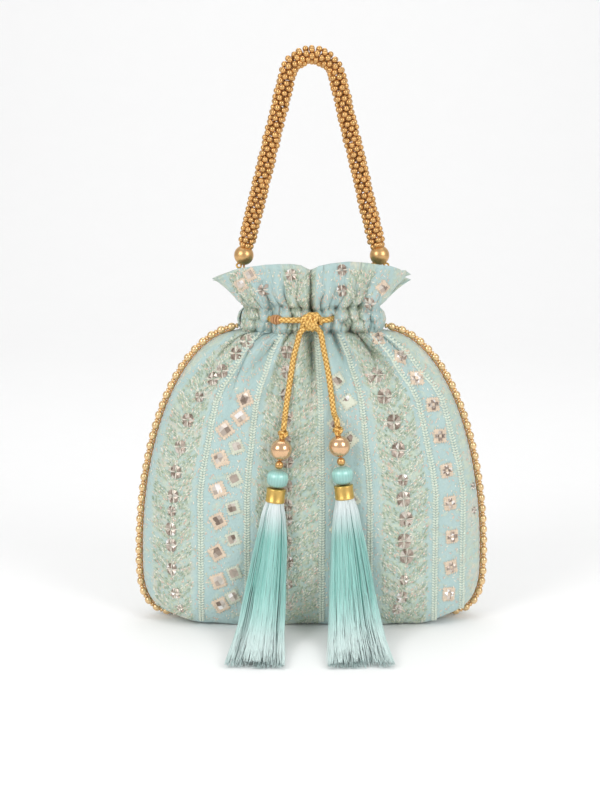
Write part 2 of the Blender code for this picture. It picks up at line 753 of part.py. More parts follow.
def rope_line():
    """The handle's middle line: a straight leg, a round arch and the other leg."""
    start = Vector((-HANDLE_BEAD_X, 0.0, handle_bead_z))
    up = Vector((math.sin(LEG_TILT), 0.0, math.cos(LEG_TILT)))
    foot = start + up * (HANDLE_BEAD_RADIUS + GAP)
    leg = (HANDLE_BEAD_X - ARCH_RADIUS * math.cos(LEG_TILT)) / math.sin(LEG_TILT)
    top_of_leg = start + up * leg
    centre = Vector((0.0, 0.0, top_of_leg.z - ARCH_RADIUS * math.sin(LEG_TILT)))
    points = [foot]
    sweep = math.pi - 2 * LEG_TILT
    for i in range(41):
        angle = math.pi - LEG_TILT - sweep * i / 40
        points.append(centre + Vector((math.cos(angle), 0.0, math.sin(angle))) * ARCH_RADIUS)
    points.append(Vector((-foot.x, 0.0, foot.z)))
    return points


def bead_rope(paint, group):
    """Rows of small beads woven round a core, staggered row by row."""
    line = rope_line()
    count = round(length_of(line) / ROPE_PITCH)
    rings = []
    for index, (place, along) in enumerate(evenly(line, count)):
        side = Vector((-along.z, 0.0, along.x))
        ring = []
        for i in range(ROPE_SIDES):
            angle = 2 * math.pi * i / ROPE_SIDES
            radius = ROPE_RADIUS if (i + index) % 2 else ROPE_VALLEY
            ring.append(place + (side * math.cos(angle) + Vector((0, 1, 0)) * math.sin(angle)) * radius)
        rings.append(ring)
    return add_mesh("handle_bead_rope", loft(rings), paint, group, sharp_degrees=80)


def lining_side_height(x):
    """Height of the lining's inner side wall, above the casing, at a distance x from the middle."""
    low, high = lining_rows()[-2:]
    start, end = low[0] - LINING_WALL, high[0] - LINING_WALL
    return blend(low[1], high[1], (x - start) / (end - start))


def handle_end(side, sign, paints, group):
    """A large bead, the thread loop below it, and the sewn tab that the loop hangs in."""
    bore = 2 * LOOP_WIRE_RADIUS + 2 * GAP
    centre = Vector((sign * HANDLE_BEAD_X, 0.0, handle_bead_z))
    outline = arc_profile(HANDLE_BEAD_RADIUS, bore, HANDLE_BEAD_RADIUS, 10)
    turned(side + "_handle_bead", outline, paints["gold_bead"], group, 16, Matrix.Translation(centre))
    ring = TAB_WIRE_RADIUS + GAP + LOOP_WIRE_RADIUS
    top = handle_bead_z + HANDLE_BEAD_RADIUS * LOOP_TOP_SHARE
    spread = LOOP_WIRE_RADIUS + GAP / 2
    route = [(0, -spread, top), (0, -spread, handle_bead_z - HANDLE_BEAD_RADIUS)]
    for i in range(9):
        angle = math.pi + math.pi * i / 8
        route.append((0, ring * math.cos(angle), pivot_z + ring * math.sin(angle)))
    route += [(0, spread, handle_bead_z - HANDLE_BEAD_RADIUS), (0, spread, top)]
    points = [Vector((centre.x + x, y, z)) for x, y, z in route]
    tube(side + "_handle_loop", points, LOOP_WIRE_RADIUS, paints["gold_cord"], group, 1)
    inner_x = HANDLE_BEAD_X - TAB_HALF_WIDTH
    outer_x = HANDLE_BEAD_X + TAB_HALF_WIDTH
    seat = TAB_WIRE_RADIUS + 2 * GAP
    inward, down = [TAB_ROUND * share for share in TAB_SHOULDER_SHARES]
    tab = [(inner_x, lining_side_height(inner_x) + seat), (inner_x, pivot_z - TAB_ROUND)]
    tab += [(inner_x + inward, pivot_z - down), (inner_x + TAB_ROUND, pivot_z)]
    tab += [(outer_x - TAB_ROUND, pivot_z), (outer_x - inward, pivot_z - down)]
    tab += [(outer_x, pivot_z - TAB_ROUND), (outer_x, lining_side_height(outer_x) + seat)]
    points = [Vector((sign * x, 0.0, z)) for x, z in tab]
    tube(side + "_handle_tab", points, TAB_WIRE_RADIUS, paints["lining"], group, 1)


def build():
    clear_scene()
    group = collection("potli_bag")
    cutters = collection("cutters")
    paints = {
        "fabric": material("embroidered_fabric", (0.55, 0.72, 0.70), 0.8),
        "lining": material("lining_satin", (0.42, 0.68, 0.66), 0.45),
        "trim": material("trim_beads", (0.62, 0.40, 0.17), 0.35, 0.7),
        "gold_bead": material("gold_beads", (0.58, 0.36, 0.15), 0.4, 0.8),
        "pearl": material("pearl_gold", (0.75, 0.46, 0.26), 0.25, 0.4),
        "gold_cord": material("gold_cord", (0.66, 0.40, 0.10), 0.5, 0.4),
        "satin": material("satin_winding", (0.30, 0.68, 0.60), 0.3),
        "ferrule": material("brushed_ferrule", (0.68, 0.42, 0.08), 0.35, 1.0),
        "silk": material("silk_strands", (0.33, 0.70, 0.62), 0.5),
    }
    front = panel("front_panel", FRONT_FOLDS, FRONT_POINTS_PER_PLEAT, 0.0, 1, paints["fabric"], group)
    for name, x in (("left_eyelet", LEFT_EYELET_X), ("right_eyelet", RIGHT_EYELET_X)):
        cut(front, eyelet_cutter(name, x, cutters))
    panel("back_panel", BACK_FOLDS, BACK_POINTS_PER_PLEAT, BACK_RIM_DROP, -1, paints["fabric"], group)
    lining(paints["lining"], group)
    seam_trim(paints["trim"], group)
    drawstring(paints["gold_cord"], group)
    knot(paints["gold_cord"], group)
    for tassel in TASSELS:
        tassel_pieces(tassel, paints, group)
    bead_rope(paints["gold_bead"], group)
    for side, sign in (("left", -1), ("right", 1)):
        handle_end(side, sign, paints, group)


build()
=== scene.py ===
"""Looks of the potli bag: embroidered gathered cloth, beads, braided cords and silk tassels.

Metres, +Z up, and the front faces -Y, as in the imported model.
"""

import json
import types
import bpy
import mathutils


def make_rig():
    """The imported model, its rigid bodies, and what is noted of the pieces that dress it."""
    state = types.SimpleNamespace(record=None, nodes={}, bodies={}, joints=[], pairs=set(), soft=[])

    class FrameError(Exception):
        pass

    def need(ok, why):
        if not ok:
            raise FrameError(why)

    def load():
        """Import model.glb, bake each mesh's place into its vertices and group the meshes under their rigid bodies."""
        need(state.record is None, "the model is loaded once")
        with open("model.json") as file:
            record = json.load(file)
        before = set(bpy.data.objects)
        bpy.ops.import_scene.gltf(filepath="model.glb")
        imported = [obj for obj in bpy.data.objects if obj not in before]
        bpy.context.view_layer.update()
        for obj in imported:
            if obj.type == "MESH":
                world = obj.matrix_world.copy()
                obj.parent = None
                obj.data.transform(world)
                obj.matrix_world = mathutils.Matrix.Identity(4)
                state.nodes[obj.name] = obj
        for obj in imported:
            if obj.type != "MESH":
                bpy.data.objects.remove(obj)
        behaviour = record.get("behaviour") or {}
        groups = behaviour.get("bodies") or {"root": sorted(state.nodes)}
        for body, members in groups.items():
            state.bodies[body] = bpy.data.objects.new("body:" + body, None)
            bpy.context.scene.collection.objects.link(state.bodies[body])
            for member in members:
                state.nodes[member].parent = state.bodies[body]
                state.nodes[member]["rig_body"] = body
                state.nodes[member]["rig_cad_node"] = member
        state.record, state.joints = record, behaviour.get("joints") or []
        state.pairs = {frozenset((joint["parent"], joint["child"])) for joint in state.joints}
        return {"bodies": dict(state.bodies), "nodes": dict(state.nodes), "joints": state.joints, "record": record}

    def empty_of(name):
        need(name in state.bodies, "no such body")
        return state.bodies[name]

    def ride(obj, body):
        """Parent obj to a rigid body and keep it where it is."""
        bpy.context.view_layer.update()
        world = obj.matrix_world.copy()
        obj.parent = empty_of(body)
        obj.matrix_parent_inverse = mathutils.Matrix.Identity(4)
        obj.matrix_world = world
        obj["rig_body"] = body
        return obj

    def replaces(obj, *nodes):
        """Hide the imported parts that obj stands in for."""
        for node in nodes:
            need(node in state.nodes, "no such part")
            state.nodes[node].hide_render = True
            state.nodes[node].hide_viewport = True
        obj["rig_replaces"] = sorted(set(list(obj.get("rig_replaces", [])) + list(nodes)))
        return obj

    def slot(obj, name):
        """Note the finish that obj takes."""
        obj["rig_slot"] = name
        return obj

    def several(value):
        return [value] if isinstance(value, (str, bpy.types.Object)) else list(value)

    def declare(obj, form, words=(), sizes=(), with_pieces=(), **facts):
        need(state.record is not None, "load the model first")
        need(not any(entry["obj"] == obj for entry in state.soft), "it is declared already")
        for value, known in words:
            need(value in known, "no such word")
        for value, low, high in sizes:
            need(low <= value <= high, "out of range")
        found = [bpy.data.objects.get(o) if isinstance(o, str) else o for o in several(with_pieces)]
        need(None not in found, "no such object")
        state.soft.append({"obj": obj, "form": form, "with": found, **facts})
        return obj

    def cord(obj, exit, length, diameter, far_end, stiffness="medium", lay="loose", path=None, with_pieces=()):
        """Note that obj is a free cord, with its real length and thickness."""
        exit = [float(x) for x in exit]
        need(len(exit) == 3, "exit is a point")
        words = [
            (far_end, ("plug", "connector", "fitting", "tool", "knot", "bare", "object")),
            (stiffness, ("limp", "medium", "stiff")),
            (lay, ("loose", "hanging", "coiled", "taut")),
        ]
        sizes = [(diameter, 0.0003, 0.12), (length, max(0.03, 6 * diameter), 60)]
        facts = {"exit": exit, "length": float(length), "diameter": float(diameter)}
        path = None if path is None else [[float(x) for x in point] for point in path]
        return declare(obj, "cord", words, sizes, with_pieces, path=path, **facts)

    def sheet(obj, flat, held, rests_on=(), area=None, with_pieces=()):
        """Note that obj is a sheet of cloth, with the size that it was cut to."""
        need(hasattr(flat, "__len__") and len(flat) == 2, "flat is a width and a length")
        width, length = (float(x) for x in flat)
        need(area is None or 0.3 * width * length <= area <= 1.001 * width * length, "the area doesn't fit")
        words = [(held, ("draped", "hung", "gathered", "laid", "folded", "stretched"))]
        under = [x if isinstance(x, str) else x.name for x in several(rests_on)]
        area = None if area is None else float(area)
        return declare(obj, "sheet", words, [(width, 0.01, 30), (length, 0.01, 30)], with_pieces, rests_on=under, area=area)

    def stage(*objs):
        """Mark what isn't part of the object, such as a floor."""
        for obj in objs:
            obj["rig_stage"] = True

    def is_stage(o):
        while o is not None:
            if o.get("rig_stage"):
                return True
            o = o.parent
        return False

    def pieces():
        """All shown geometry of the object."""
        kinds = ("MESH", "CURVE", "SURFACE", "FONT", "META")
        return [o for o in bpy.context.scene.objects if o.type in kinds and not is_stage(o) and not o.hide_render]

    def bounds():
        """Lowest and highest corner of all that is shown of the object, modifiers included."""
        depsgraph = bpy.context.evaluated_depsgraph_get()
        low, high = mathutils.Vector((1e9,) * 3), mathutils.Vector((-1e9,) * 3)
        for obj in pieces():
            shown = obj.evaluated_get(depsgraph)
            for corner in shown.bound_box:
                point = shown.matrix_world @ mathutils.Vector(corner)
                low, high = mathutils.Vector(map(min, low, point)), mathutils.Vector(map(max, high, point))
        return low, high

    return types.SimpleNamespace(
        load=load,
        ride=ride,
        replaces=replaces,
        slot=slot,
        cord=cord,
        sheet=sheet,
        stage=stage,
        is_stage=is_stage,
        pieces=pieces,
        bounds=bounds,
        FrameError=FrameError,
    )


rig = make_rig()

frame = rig.load()

import json
import math

import bpy
import numpy as np
from mathutils import Matrix, Vector, noise
from mathutils.bvhtree import BVHTree

cad_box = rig.bounds()

# Sizes that the CAD source drives, repeated here
GAP = 0.0003
WALL = 0.0012
BELLY_HALF_WIDTH = 0.0915
BELLY_DEPTH = 0.025
SEAM_BELLY_HEIGHT = 0.034
FRONT_BELLY_HEIGHT = 0.036
FOOT_HALF_WIDTH = 0.072
FOOT_DEPTH = 0.013
FOOT_INNER_DEPTH = 0.0065
FOOT_SQUARENESS = 8.0
BELLY_SQUARENESS = 2.6
NECK_SQUARENESS = 3.4
BULGE_ROOT = 0.59
LIFT_START = 0.72
NECK_HALF_WIDTH = 0.0372
NECK_DEPTH = 0.0128
NECK_HEIGHT = 0.1585
CASING_HEIGHT = 0.016
CASING_PUFF_WIDTH = 0.0026
CASING_PUFF_DEPTH = 0.0022
RUFFLE_HEIGHT = 0.0208
RUFFLE_TIP_HALF_WIDTH = 0.0525
RIM_DEPTH = 0.0125
BACK_RIM_DROP = 0.0045
PLEAT_AT_BELLY = 0.0004
PLEAT_AT_NECK = 0.0028
PLEAT_AT_CASING = 0.0030
PLEAT_AT_RIM = 0.0032
FRONT_FOLDS = (-0.80, -0.57, -0.28, 0.0, 0.26, 0.52, 0.78)
BACK_FOLDS = (-0.76, -0.50, -0.24, 0.04, 0.30, 0.55, 0.80)
TRIM_BEAD_RADIUS = 0.00205
TRIM_PITCH = 0.0059
CORD_RADIUS = 0.0016
KNOT_X = -0.0005
KNOT_HALF = (0.0056, 0.0039, 0.0053)
KNOT_DROP = 0.0008
KNOT_SINK = 0.0001
LEFT_EYELET_X = -0.0218
RIGHT_EYELET_X = 0.0098
EYELET_HEIGHT = 0.0042
END_KNOT_HEIGHT = 0.0042
PEARL_RADIUS = 0.00565
SPACER_RADIUS = 0.0022
SATIN_RADIUS = 0.00565
SATIN_HEIGHT = 0.0096
FERRULE_RADIUS = 0.00505
FERRULE_HEIGHT = 0.0074
SKIRT_TOP_RADIUS = 0.0044
HANDLE_BEAD_RADIUS = 0.00515
HANDLE_BEAD_X = 0.0357
HANDLE_BEAD_RISE = 0.0237
ROPE_RADIUS = 0.0049
ROPE_PITCH = 0.0027
LEG_TILT = math.radians(13.8)
ARCH_RADIUS = 0.01315

casing_middle = NECK_HEIGHT + CASING_HEIGHT / 2
casing_top = NECK_HEIGHT + CASING_HEIGHT
casing_depth = NECK_DEPTH + CASING_PUFF_DEPTH
handle_bead_z = casing_top + HANDLE_BEAD_RISE
trim_offset = TRIM_BEAD_RADIUS + GAP
seam_floor = 2 * trim_offset + GAP / 2

# Camera, as the photograph was taken
CAMERA_PLACE = (-0.00615, -0.8835, 0.2923)
CAMERA_DROP = 11.0
CAMERA_LENS = 75.70
SENSOR_HEIGHT = 36.0
PHOTO_WIDTH = 600
PHOTO_HEIGHT = 800


def make_camera():
    data = bpy.data.cameras.new("Camera")
    data.lens = CAMERA_LENS
    data.sensor_width = SENSOR_HEIGHT
    data.clip_start = 0.01
    camera = bpy.data.objects.new("Camera", data)
    camera.location = CAMERA_PLACE
    camera.rotation_euler = (math.radians(90 - CAMERA_DROP), 0, 0)
    bpy.context.scene.collection.objects.link(camera)
    bpy.context.scene.camera = camera


def sight(px, py):
    """Direction from the camera through a pixel of the photograph."""
    focal = CAMERA_LENS / SENSOR_HEIGHT * PHOTO_HEIGHT
    across = (px - PHOTO_WIDTH / 2) / focal
    up = (PHOTO_HEIGHT / 2 - py) / focal
    drop = math.radians(CAMERA_DROP)
    ahead = Vector((0, math.cos(drop), -math.sin(drop)))
    above = Vector((0, math.sin(drop), math.cos(drop)))
    return (ahead + Vector((1, 0, 0)) * across + above * up).normalized()


def blend(low, high, share):
    return low + (high - low) * share


def smooth(share):
    share = np.clip(share, 0.0, 1.0)
    return share * share * (3 - 2 * share)


def smooth_route(points, step):
    """A Catmull-Rom curve through the points, read about every step along it."""
    points = [Vector(p) for p in points]
    padded = [2 * points[0] - points[1]] + points + [2 * points[-1] - points[-2]]
    route = []
    for a, b, c, d in zip(padded, padded[1:], padded[2:], padded[3:]):
        count = max(1, round((c - b).length / step))
        for i in range(count):
            t = i / count
            bend = (2 * a - 5 * b + 4 * c - d) * t * t + (3 * b - a - 3 * c + d) * t ** 3
            route.append(b + ((c - a) * t + bend) / 2)
    route.append(points[-1])
    return route


def route_length(points):
    return sum((Vector(b) - Vector(a)).length for a, b in zip(points, points[1:]))


def evenly(points, count):
    """Reads count + 1 places at equal distances along a line of points, with their directions."""
    points = [Vector(p) for p in points]
    lengths = [0.0]
    for a, b in zip(points, points[1:]):
        lengths.append(lengths[-1] + (b - a).length)
    places = []
    index = 0
    for i in range(count + 1):
        wanted = lengths[-1] * i / count
        while index < len(points) - 2 and lengths[index + 1] < wanted:
            index += 1
        here, there = points[index], points[index + 1]
        span = max(lengths[index + 1] - lengths[index], 1e-9)
        places.append((here.lerp(there, (wanted - lengths[index]) / span), (there - here).normalized()))
    return places


def link(name, mesh, paint, body):
    mesh.materials.append(paint.material)
    made = bpy.data.objects.new(name, mesh)
    bpy.context.scene.collection.objects.link(made)
    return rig.ride(made, body)


def stand_in(made, node, slot):
    """Puts a piece in the place of one of the CAD's nodes, with the slot that it's painted by."""
    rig.replaces(made, node)
    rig.slot(made, slot)
    return made


def mesh_of(name, verts, faces, tones=None, sheet_places=None):
    """A smooth mesh; tones has each vertex's colour and sheet_places its place on the flat cloth."""
    mesh = bpy.data.meshes.new(name)
    mesh.from_pydata([tuple(v) for v in verts], [], faces)
    if tones is not None:
        layer = mesh.color_attributes.new("tone", "FLOAT_COLOR", "POINT")
        flat = np.ones((len(verts), 4), np.float32)
        flat[:, :3] = tones
        layer.data.foreach_set("color", flat.ravel())
    if sheet_places is not None:
        layer = mesh.uv_layers.new(name="flat_cloth")
        loops = np.zeros(len(mesh.loops), np.int32)
        mesh.loops.foreach_get("vertex_index", loops)
        layer.data.foreach_set("uv", np.asarray(sheet_places, np.float32)[loops].ravel())
    mesh.shade_smooth()
    mesh.validate()
    return mesh


def grid_faces(rows, columns, closed=False, start=0):
    """Faces between the rows of a grid of vertices, numbered row by row from start."""
    faces = []
    last = columns if closed else columns - 1
    for i in range(rows - 1):
        for j in range(last):
            k = (j + 1) % columns
            a = start + i * columns
            b = a + columns
            faces.append((a + j, a + k, b + k, b + j))
    return faces


# Materials

def srgb(red, green, blue):
    """Linear colour of an 8-bit sRGB one."""
    return tuple(c / 255 / 12.92 if c <= 10 else ((c / 255 + 0.055) / 1.055) ** 2.4
                 for c in (red, green, blue))


class Paint:
    """A node material in the making."""

    def __init__(self, name, colour, roughness, metallic=0.0):
        self.material = bpy.data.materials.new(name)
        self.material.use_nodes = True
        self.tree = self.material.node_tree
        self.shader = self.tree.nodes["Principled BSDF"]
        self.set("Base Color", (*colour, 1.0))
        self.set("Roughness", roughness)
        self.set("Metallic", metallic)

    def set(self, socket, value):
        self.shader.inputs[socket].default_value = value

    def node(self, kind, **values):
        made = self.tree.nodes.new("ShaderNode" + kind)
        for name, value in values.items():
            if hasattr(made, name):
                setattr(made, name, value)
            else:
                made.inputs[name.replace("_", " ")].default_value = value
        return made

    def join(self, output, socket):
        self.tree.links.new(output, socket)

    def into(self, output, socket):
        self.join(output, self.shader.inputs[socket])

    def math(self, operation, first, second=None, third=None, clamp=False):
        made = self.node("Math", operation=operation, use_clamp=clamp)
        for socket, value in zip(made.inputs, (first, second, third)):
            if value is None:
                continue
            if isinstance(value, (int, float)):
                socket.default_value = value
            else:
                self.join(value, socket)
        return made.outputs[0]

    def mix(self, share, low, high, kind="MIX"):
        made = self.node("Mix", data_type="RGBA", blend_type=kind)
        for socket, value in ((made.inputs[0], share), (made.inputs[6], low), (made.inputs[7], high)):
            if isinstance(value, (int, float)):
                socket.default_value = value
            elif isinstance(value, tuple):
                socket.default_value = (*value, 1.0)
            else:
                self.join(value, socket)
        return made.outputs[2]

    def ramp(self, value, stops, kind="LINEAR"):
        """stops are (place, grey or colour)."""
        made = self.node("ValToRGB")
        made.color_ramp.interpolation = kind
        elements = made.color_ramp.elements
        while len(elements) > 1:
            elements.remove(elements[-1])
        for i, (place, colour) in enumerate(stops):
            element = elements[0] if i == 0 else elements.new(place)
            element.position = place
            element.color = (*colour, 1.0) if isinstance(colour, tuple) else (*[colour] * 3, 1.0)
        self.join(value, made.inputs[0])
        return made.outputs[0]

    def bump(self, height, distance, strength=1.0, under=None):
        made = self.node("Bump")
        made.inputs["Distance"].default_value = distance
        made.inputs["Strength"].default_value = strength
        self.join(height, made.inputs["Height"])
        if under is not None:
            self.join(under, made.inputs["Normal"])
        return made.outputs[0]

    def object_places(self):
        return self.node("TexCoord").outputs["Object"]

    def noise(self, places, scale, detail=2.0, roughness=0.5):
        made = self.node("TexNoise", Scale=scale, Detail=detail, Roughness=roughness)
        self.join(places, made.inputs["Vector"])
        return made.outputs["Fac"]

    def tone(self):
        return self.node("Attribute", attribute_name="tone").outputs["Color"]


def metal_paint(name, colour, roughness, metallic, wear_scale=900.0):
    """Plated beads: a little unevenness in the plating and its gloss."""
    paint = Paint(name, colour, roughness, metallic)
    places = paint.object_places()
    patches = paint.noise(places, wear_scale * 0.25)
    fine = paint.noise(places, wear_scale, 3.0)
    plating = paint.ramp(patches, [(0.35, 0.0), (0.7, 1.0)])
    paint.into(paint.mix(plating, tuple(c * 0.86 for c in colour), colour), "Base Color")
    paint.into(paint.math("MULTIPLY_ADD", fine, 0.14, roughness - 0.07), "Roughness")
    paint.into(paint.bump(fine, 0.00003, 0.5), "Normal")
    return paint


def cord_paint():
    """Gold braid: painted shade darkens the gaps between the plaits to brown, a painted highlight brightens their
    crowns, and painted glints fleck it.
    """
    paint = Paint("braided_gold_cord", srgb(214, 165, 70), 0.38, 0.55)
    height = paint.node("SeparateColor")
    paint.join(paint.tone(), height.inputs[0])
    places = paint.object_places()
    # Painted shade in the plaits' gaps and a painted highlight on their crowns, from the plaits' height.
    shade = paint.ramp(
        height.outputs[0],
        [(0.0, srgb(84, 46, 12)), (0.42, srgb(176, 118, 44)), (0.72, srgb(218, 168, 82)), (1.0, srgb(248, 210, 132))])
    glint = paint.ramp(paint.noise(places, 2600.0, 2.0), [(0.45, 0.0), (0.7, 0.35)])
    paint.into(paint.mix(glint, shade, srgb(255, 232, 168)), "Base Color")
    paint.into(paint.bump(paint.noise(places, 3400.0, 2.0), 0.00006, 0.6), "Normal")
    return paint


def silk_paint(name, colour, roughness):
    """Silk whose colour comes from each strand's tone, painted highlight and shade included."""
    paint = Paint(name, colour, roughness)
    paint.into(paint.tone(), "Base Color")
    paint.set("Sheen Weight", 0.35)
    paint.set("Sheen Roughness", 0.3)
    paint.set("Anisotropic", 0.6)
    paint.set("Specular IOR Level", 0.6)
    return paint


# Embroidered cloth's stripes, as places across the flat front: (start, end) in metres
LEAF_BANDS = ((-0.0855, -0.0635), (-0.0290, 0.0040), (0.0365, 0.0612))
ROPE_LINES = (-0.0590, -0.0342, 0.0055, 0.0308, 0.0659, 0.0811)
EDGE_BANDS = ((-0.105, -0.0905), (0.0835, 0.105))
BAND_BLUR = 0.006
CLOTH_WIDTH = 0.24
CLOTH_LENGTH = 0.26


def cloth_paint():
    """Aqua woven cloth, its pale green embroidered bands, and the twill and gloss of the threads."""
    paint = Paint("embroidered_cloth", srgb(176, 214, 218), 0.75)
    place = paint.node("UVMap", uv_map="flat_cloth").outputs[0]
    split = paint.node("SeparateXYZ")
    paint.join(place, split.inputs[0])
    across, along = split.outputs[0], split.outputs[1]
    wobble = paint.noise(paint.object_places(), 260.0, 3.0)
    moved = paint.math("ADD", across, paint.math("MULTIPLY_ADD", wobble, 0.016, -0.008))
    stops = [(0.0, 0.0)]
    for start, end in sorted(LEAF_BANDS + EDGE_BANDS):
        low, high = start / CLOTH_WIDTH + 0.5, end / CLOTH_WIDTH + 0.5
        stops += [(max(low - BAND_BLUR, 0.001), 0.0), (min(low + BAND_BLUR, 0.998), 1.0)]
        stops += [(min(high - BAND_BLUR, 0.999), 1.0), (min(high + BAND_BLUR, 1.0), 0.0)]
    band = paint.ramp(moved, stops)
    flat = paint.node("Mapping")
    flat.inputs["Scale"].default_value = (CLOTH_WIDTH, CLOTH_LENGTH, 1.0)
    paint.join(place, flat.inputs[0])
    stitch = paint.node("TexVoronoi", feature="F1", Scale=520.0)
    stretched = paint.node("Mapping")
    stretched.inputs["Scale"].default_value = (1.0, 0.38, 1.0)
    stretched.inputs["Rotation"].default_value = (0, 0, math.radians(38))
    paint.join(flat.outputs[0], stretched.inputs[0])
    paint.join(stretched.outputs[0], stitch.inputs["Vector"])
    thread = paint.ramp(stitch.outputs["Distance"], [(0.0, 1.0), (0.55, 0.25), (0.9, 0.0)])
    sprig = paint.ramp(paint.noise(flat.outputs[0], 330.0, 4.0, 0.65), [(0.42, 0.0), (0.56, 1.0)])
    cover = paint.math("MULTIPLY", band, paint.math("MULTIPLY_ADD", sprig, 0.55, 0.22))
    scattered = paint.ramp(paint.noise(flat.outputs[0], 210.0, 3.0), [(0.56, 0.0), (0.66, 0.5)])
    cover = paint.math("MAXIMUM", cover, scattered)
    thread_colour = paint.ramp(
        paint.noise(flat.outputs[0], 95.0, 2.0),
        [(0.30, srgb(184, 202, 180)), (0.52, srgb(202, 210, 186)), (0.72, srgb(222, 204, 184))])
    # Painted highlight: each stitch is lighter towards its middle.
    thread_lit = paint.mix(paint.math("MULTIPLY", thread, 0.55), thread_colour, srgb(216, 224, 206))
    ground = paint.mix(paint.noise(flat.outputs[0], 60.0, 2.0), srgb(166, 195, 194), srgb(185, 206, 203))
    paint.into(paint.mix(cover, ground, thread_lit), "Base Color")
    weave = paint.node("TexWave", wave_type="BANDS", bands_direction="DIAGONAL", Scale=620.0, Distortion=0.6)
    paint.join(flat.outputs[0], weave.inputs["Vector"])
    weave_bump = paint.bump(weave.outputs["Fac"], 0.00006, 0.5)
    raised = paint.math("MULTIPLY", cover, paint.math("MULTIPLY_ADD", thread, 0.7, 0.3))
    crinkle = paint.bump(paint.noise(flat.outputs[0], 520.0, 3.0, 0.6), 0.0007, 0.8, weave_bump)
    paint.into(paint.bump(raised, 0.0006, 1.0, crinkle), "Normal")
    paint.set("Sheen Weight", 0.3)
    paint.set("Sheen Roughness", 0.45)
    return paint


def thread_paint(name, roughness=0.55):
    """Raised stitches: tone from the stitch, painted glints, and fine thread lines along the sewing."""
    paint = Paint(name, srgb(210, 226, 204), roughness)
    places = paint.object_places()
    fine = paint.noise(places, 2400.0, 2.0)
    glint = paint.ramp(fine, [(0.44, 0.0), (0.66, 0.30)])
    paint.into(paint.mix(glint, paint.tone(), srgb(238, 240, 230)), "Base Color")
    paint.into(paint.bump(fine, 0.00012, 0.8), "Normal")
    paint.set("Sheen Weight", 0.3)
    return paint


paints = {
    "cloth": cloth_paint(),
    "thread": thread_paint("raised_stitches"),
    "patch": thread_paint("peach_patch_thread", 0.65),
    "sequin": Paint("mirror_sequins", srgb(160, 150, 146), 0.30, 0.45),
    "gold_bead": metal_paint("gold_seed_beads", srgb(218, 170, 108), 0.26, 0.75),
    "trim": metal_paint("seam_trim_beads", srgb(238, 204, 154), 0.22, 0.72),
    "big_bead": metal_paint("satin_gold_bead", srgb(224, 180, 122), 0.34, 0.85, 2200.0),
    "pearl": metal_paint("gold_pearl", srgb(236, 192, 148), 0.22, 0.82, 500.0),
    "cord": cord_paint(),
    "satin": silk_paint("wound_satin", srgb(150, 212, 202), 0.24),
    "ferrule": metal_paint("ferrule_brass", srgb(228, 190, 108), 0.36, 0.9, 1800.0),
    "silk": silk_paint("tassel_silk", srgb(150, 212, 202), 0.40),
    "lining": Paint("lining_satin", srgb(150, 205, 205), 0.42),
    "gimp": metal_paint("trim_thread", srgb(206, 160, 108), 0.5, 0.3),
    "wrap": metal_paint("orange_wrap_thread", srgb(204, 152, 104), 0.55, 0.2),
}
for coated, weight, gloss in (("satin", 1.0, 0.17), ("pearl", 0.6, 0.12)):
    paints[coated].set("Coat Weight", weight)
    paints[coated].set("Coat Roughness", gloss)
# The sequins' colour is the painted reflection on each facet.
paints["sequin"].into(paints["sequin"].tone(), "Base Color")
satin_cloth = paints["lining"]
lining_shine = satin_cloth.noise(satin_cloth.object_places(), 140.0, 2.0)
satin_cloth.into(satin_cloth.mix(lining_shine, srgb(134, 192, 194), srgb(168, 216, 216)), "Base Color")
satin_cloth.set("Sheen Weight", 0.4)


# The drawstring's two hanging cords, their beads and tassels

def cord_frames(points):
    """Places, directions and two steady crosswise directions along a line of points."""
    p = np.array([tuple(q) for q in points], float)
    t = np.gradient(p, axis=0)
    t /= np.linalg.norm(t, axis=1)[:, None]
    n = np.empty_like(p)
    guide = np.array((0.0, 1.0, 0.0)) if abs(t[0][1]) < 0.8 else np.array((1.0, 0.0, 0.0))
    n[0] = np.cross(t[0], guide)
    n[0] /= np.linalg.norm(n[0])
    for i in range(1, len(p)):
        v = n[i - 1] - t[i] * np.dot(n[i - 1], t[i])
        n[i] = v / np.linalg.norm(v)
    return p, t, n, np.cross(t, n)


def ring_angles(sides):
    return np.arange(sides) * 2 * math.pi / sides


def ring_offsets(first, second, sides):
    """Offsets of a ring of points round each place of a line, from its two crosswise vectors."""
    around = ring_angles(sides)[None, :, None]
    return np.cos(around) * first[:, None, :] + np.sin(around) * second[:, None, :]


PLAIT_STRANDS = 4
PLAIT_PITCH = 0.0024
PLAIT_CORE = 0.72


def plait_height(around, along):
    """Height of a round plait's surface, 0 in the gaps and 1 on the crowns."""
    a = around * PLAIT_STRANDS / (2 * math.pi) + along / PLAIT_PITCH
    b = around * PLAIT_STRANDS / (2 * math.pi) - along / PLAIT_PITCH
    fa, fb = a - np.floor(a), b - np.floor(b)
    over = (np.floor(a) + np.floor(b)) % 2 == 0
    cross = np.where(over, fa, fb)
    length = np.where(over, fb, fa)
    crown = np.sqrt(np.clip(1 - (2 * cross - 1) ** 2, 0, 1))
    return crown * (0.45 + 0.55 * np.sqrt(np.clip(np.sin(math.pi * length), 0, 1)))


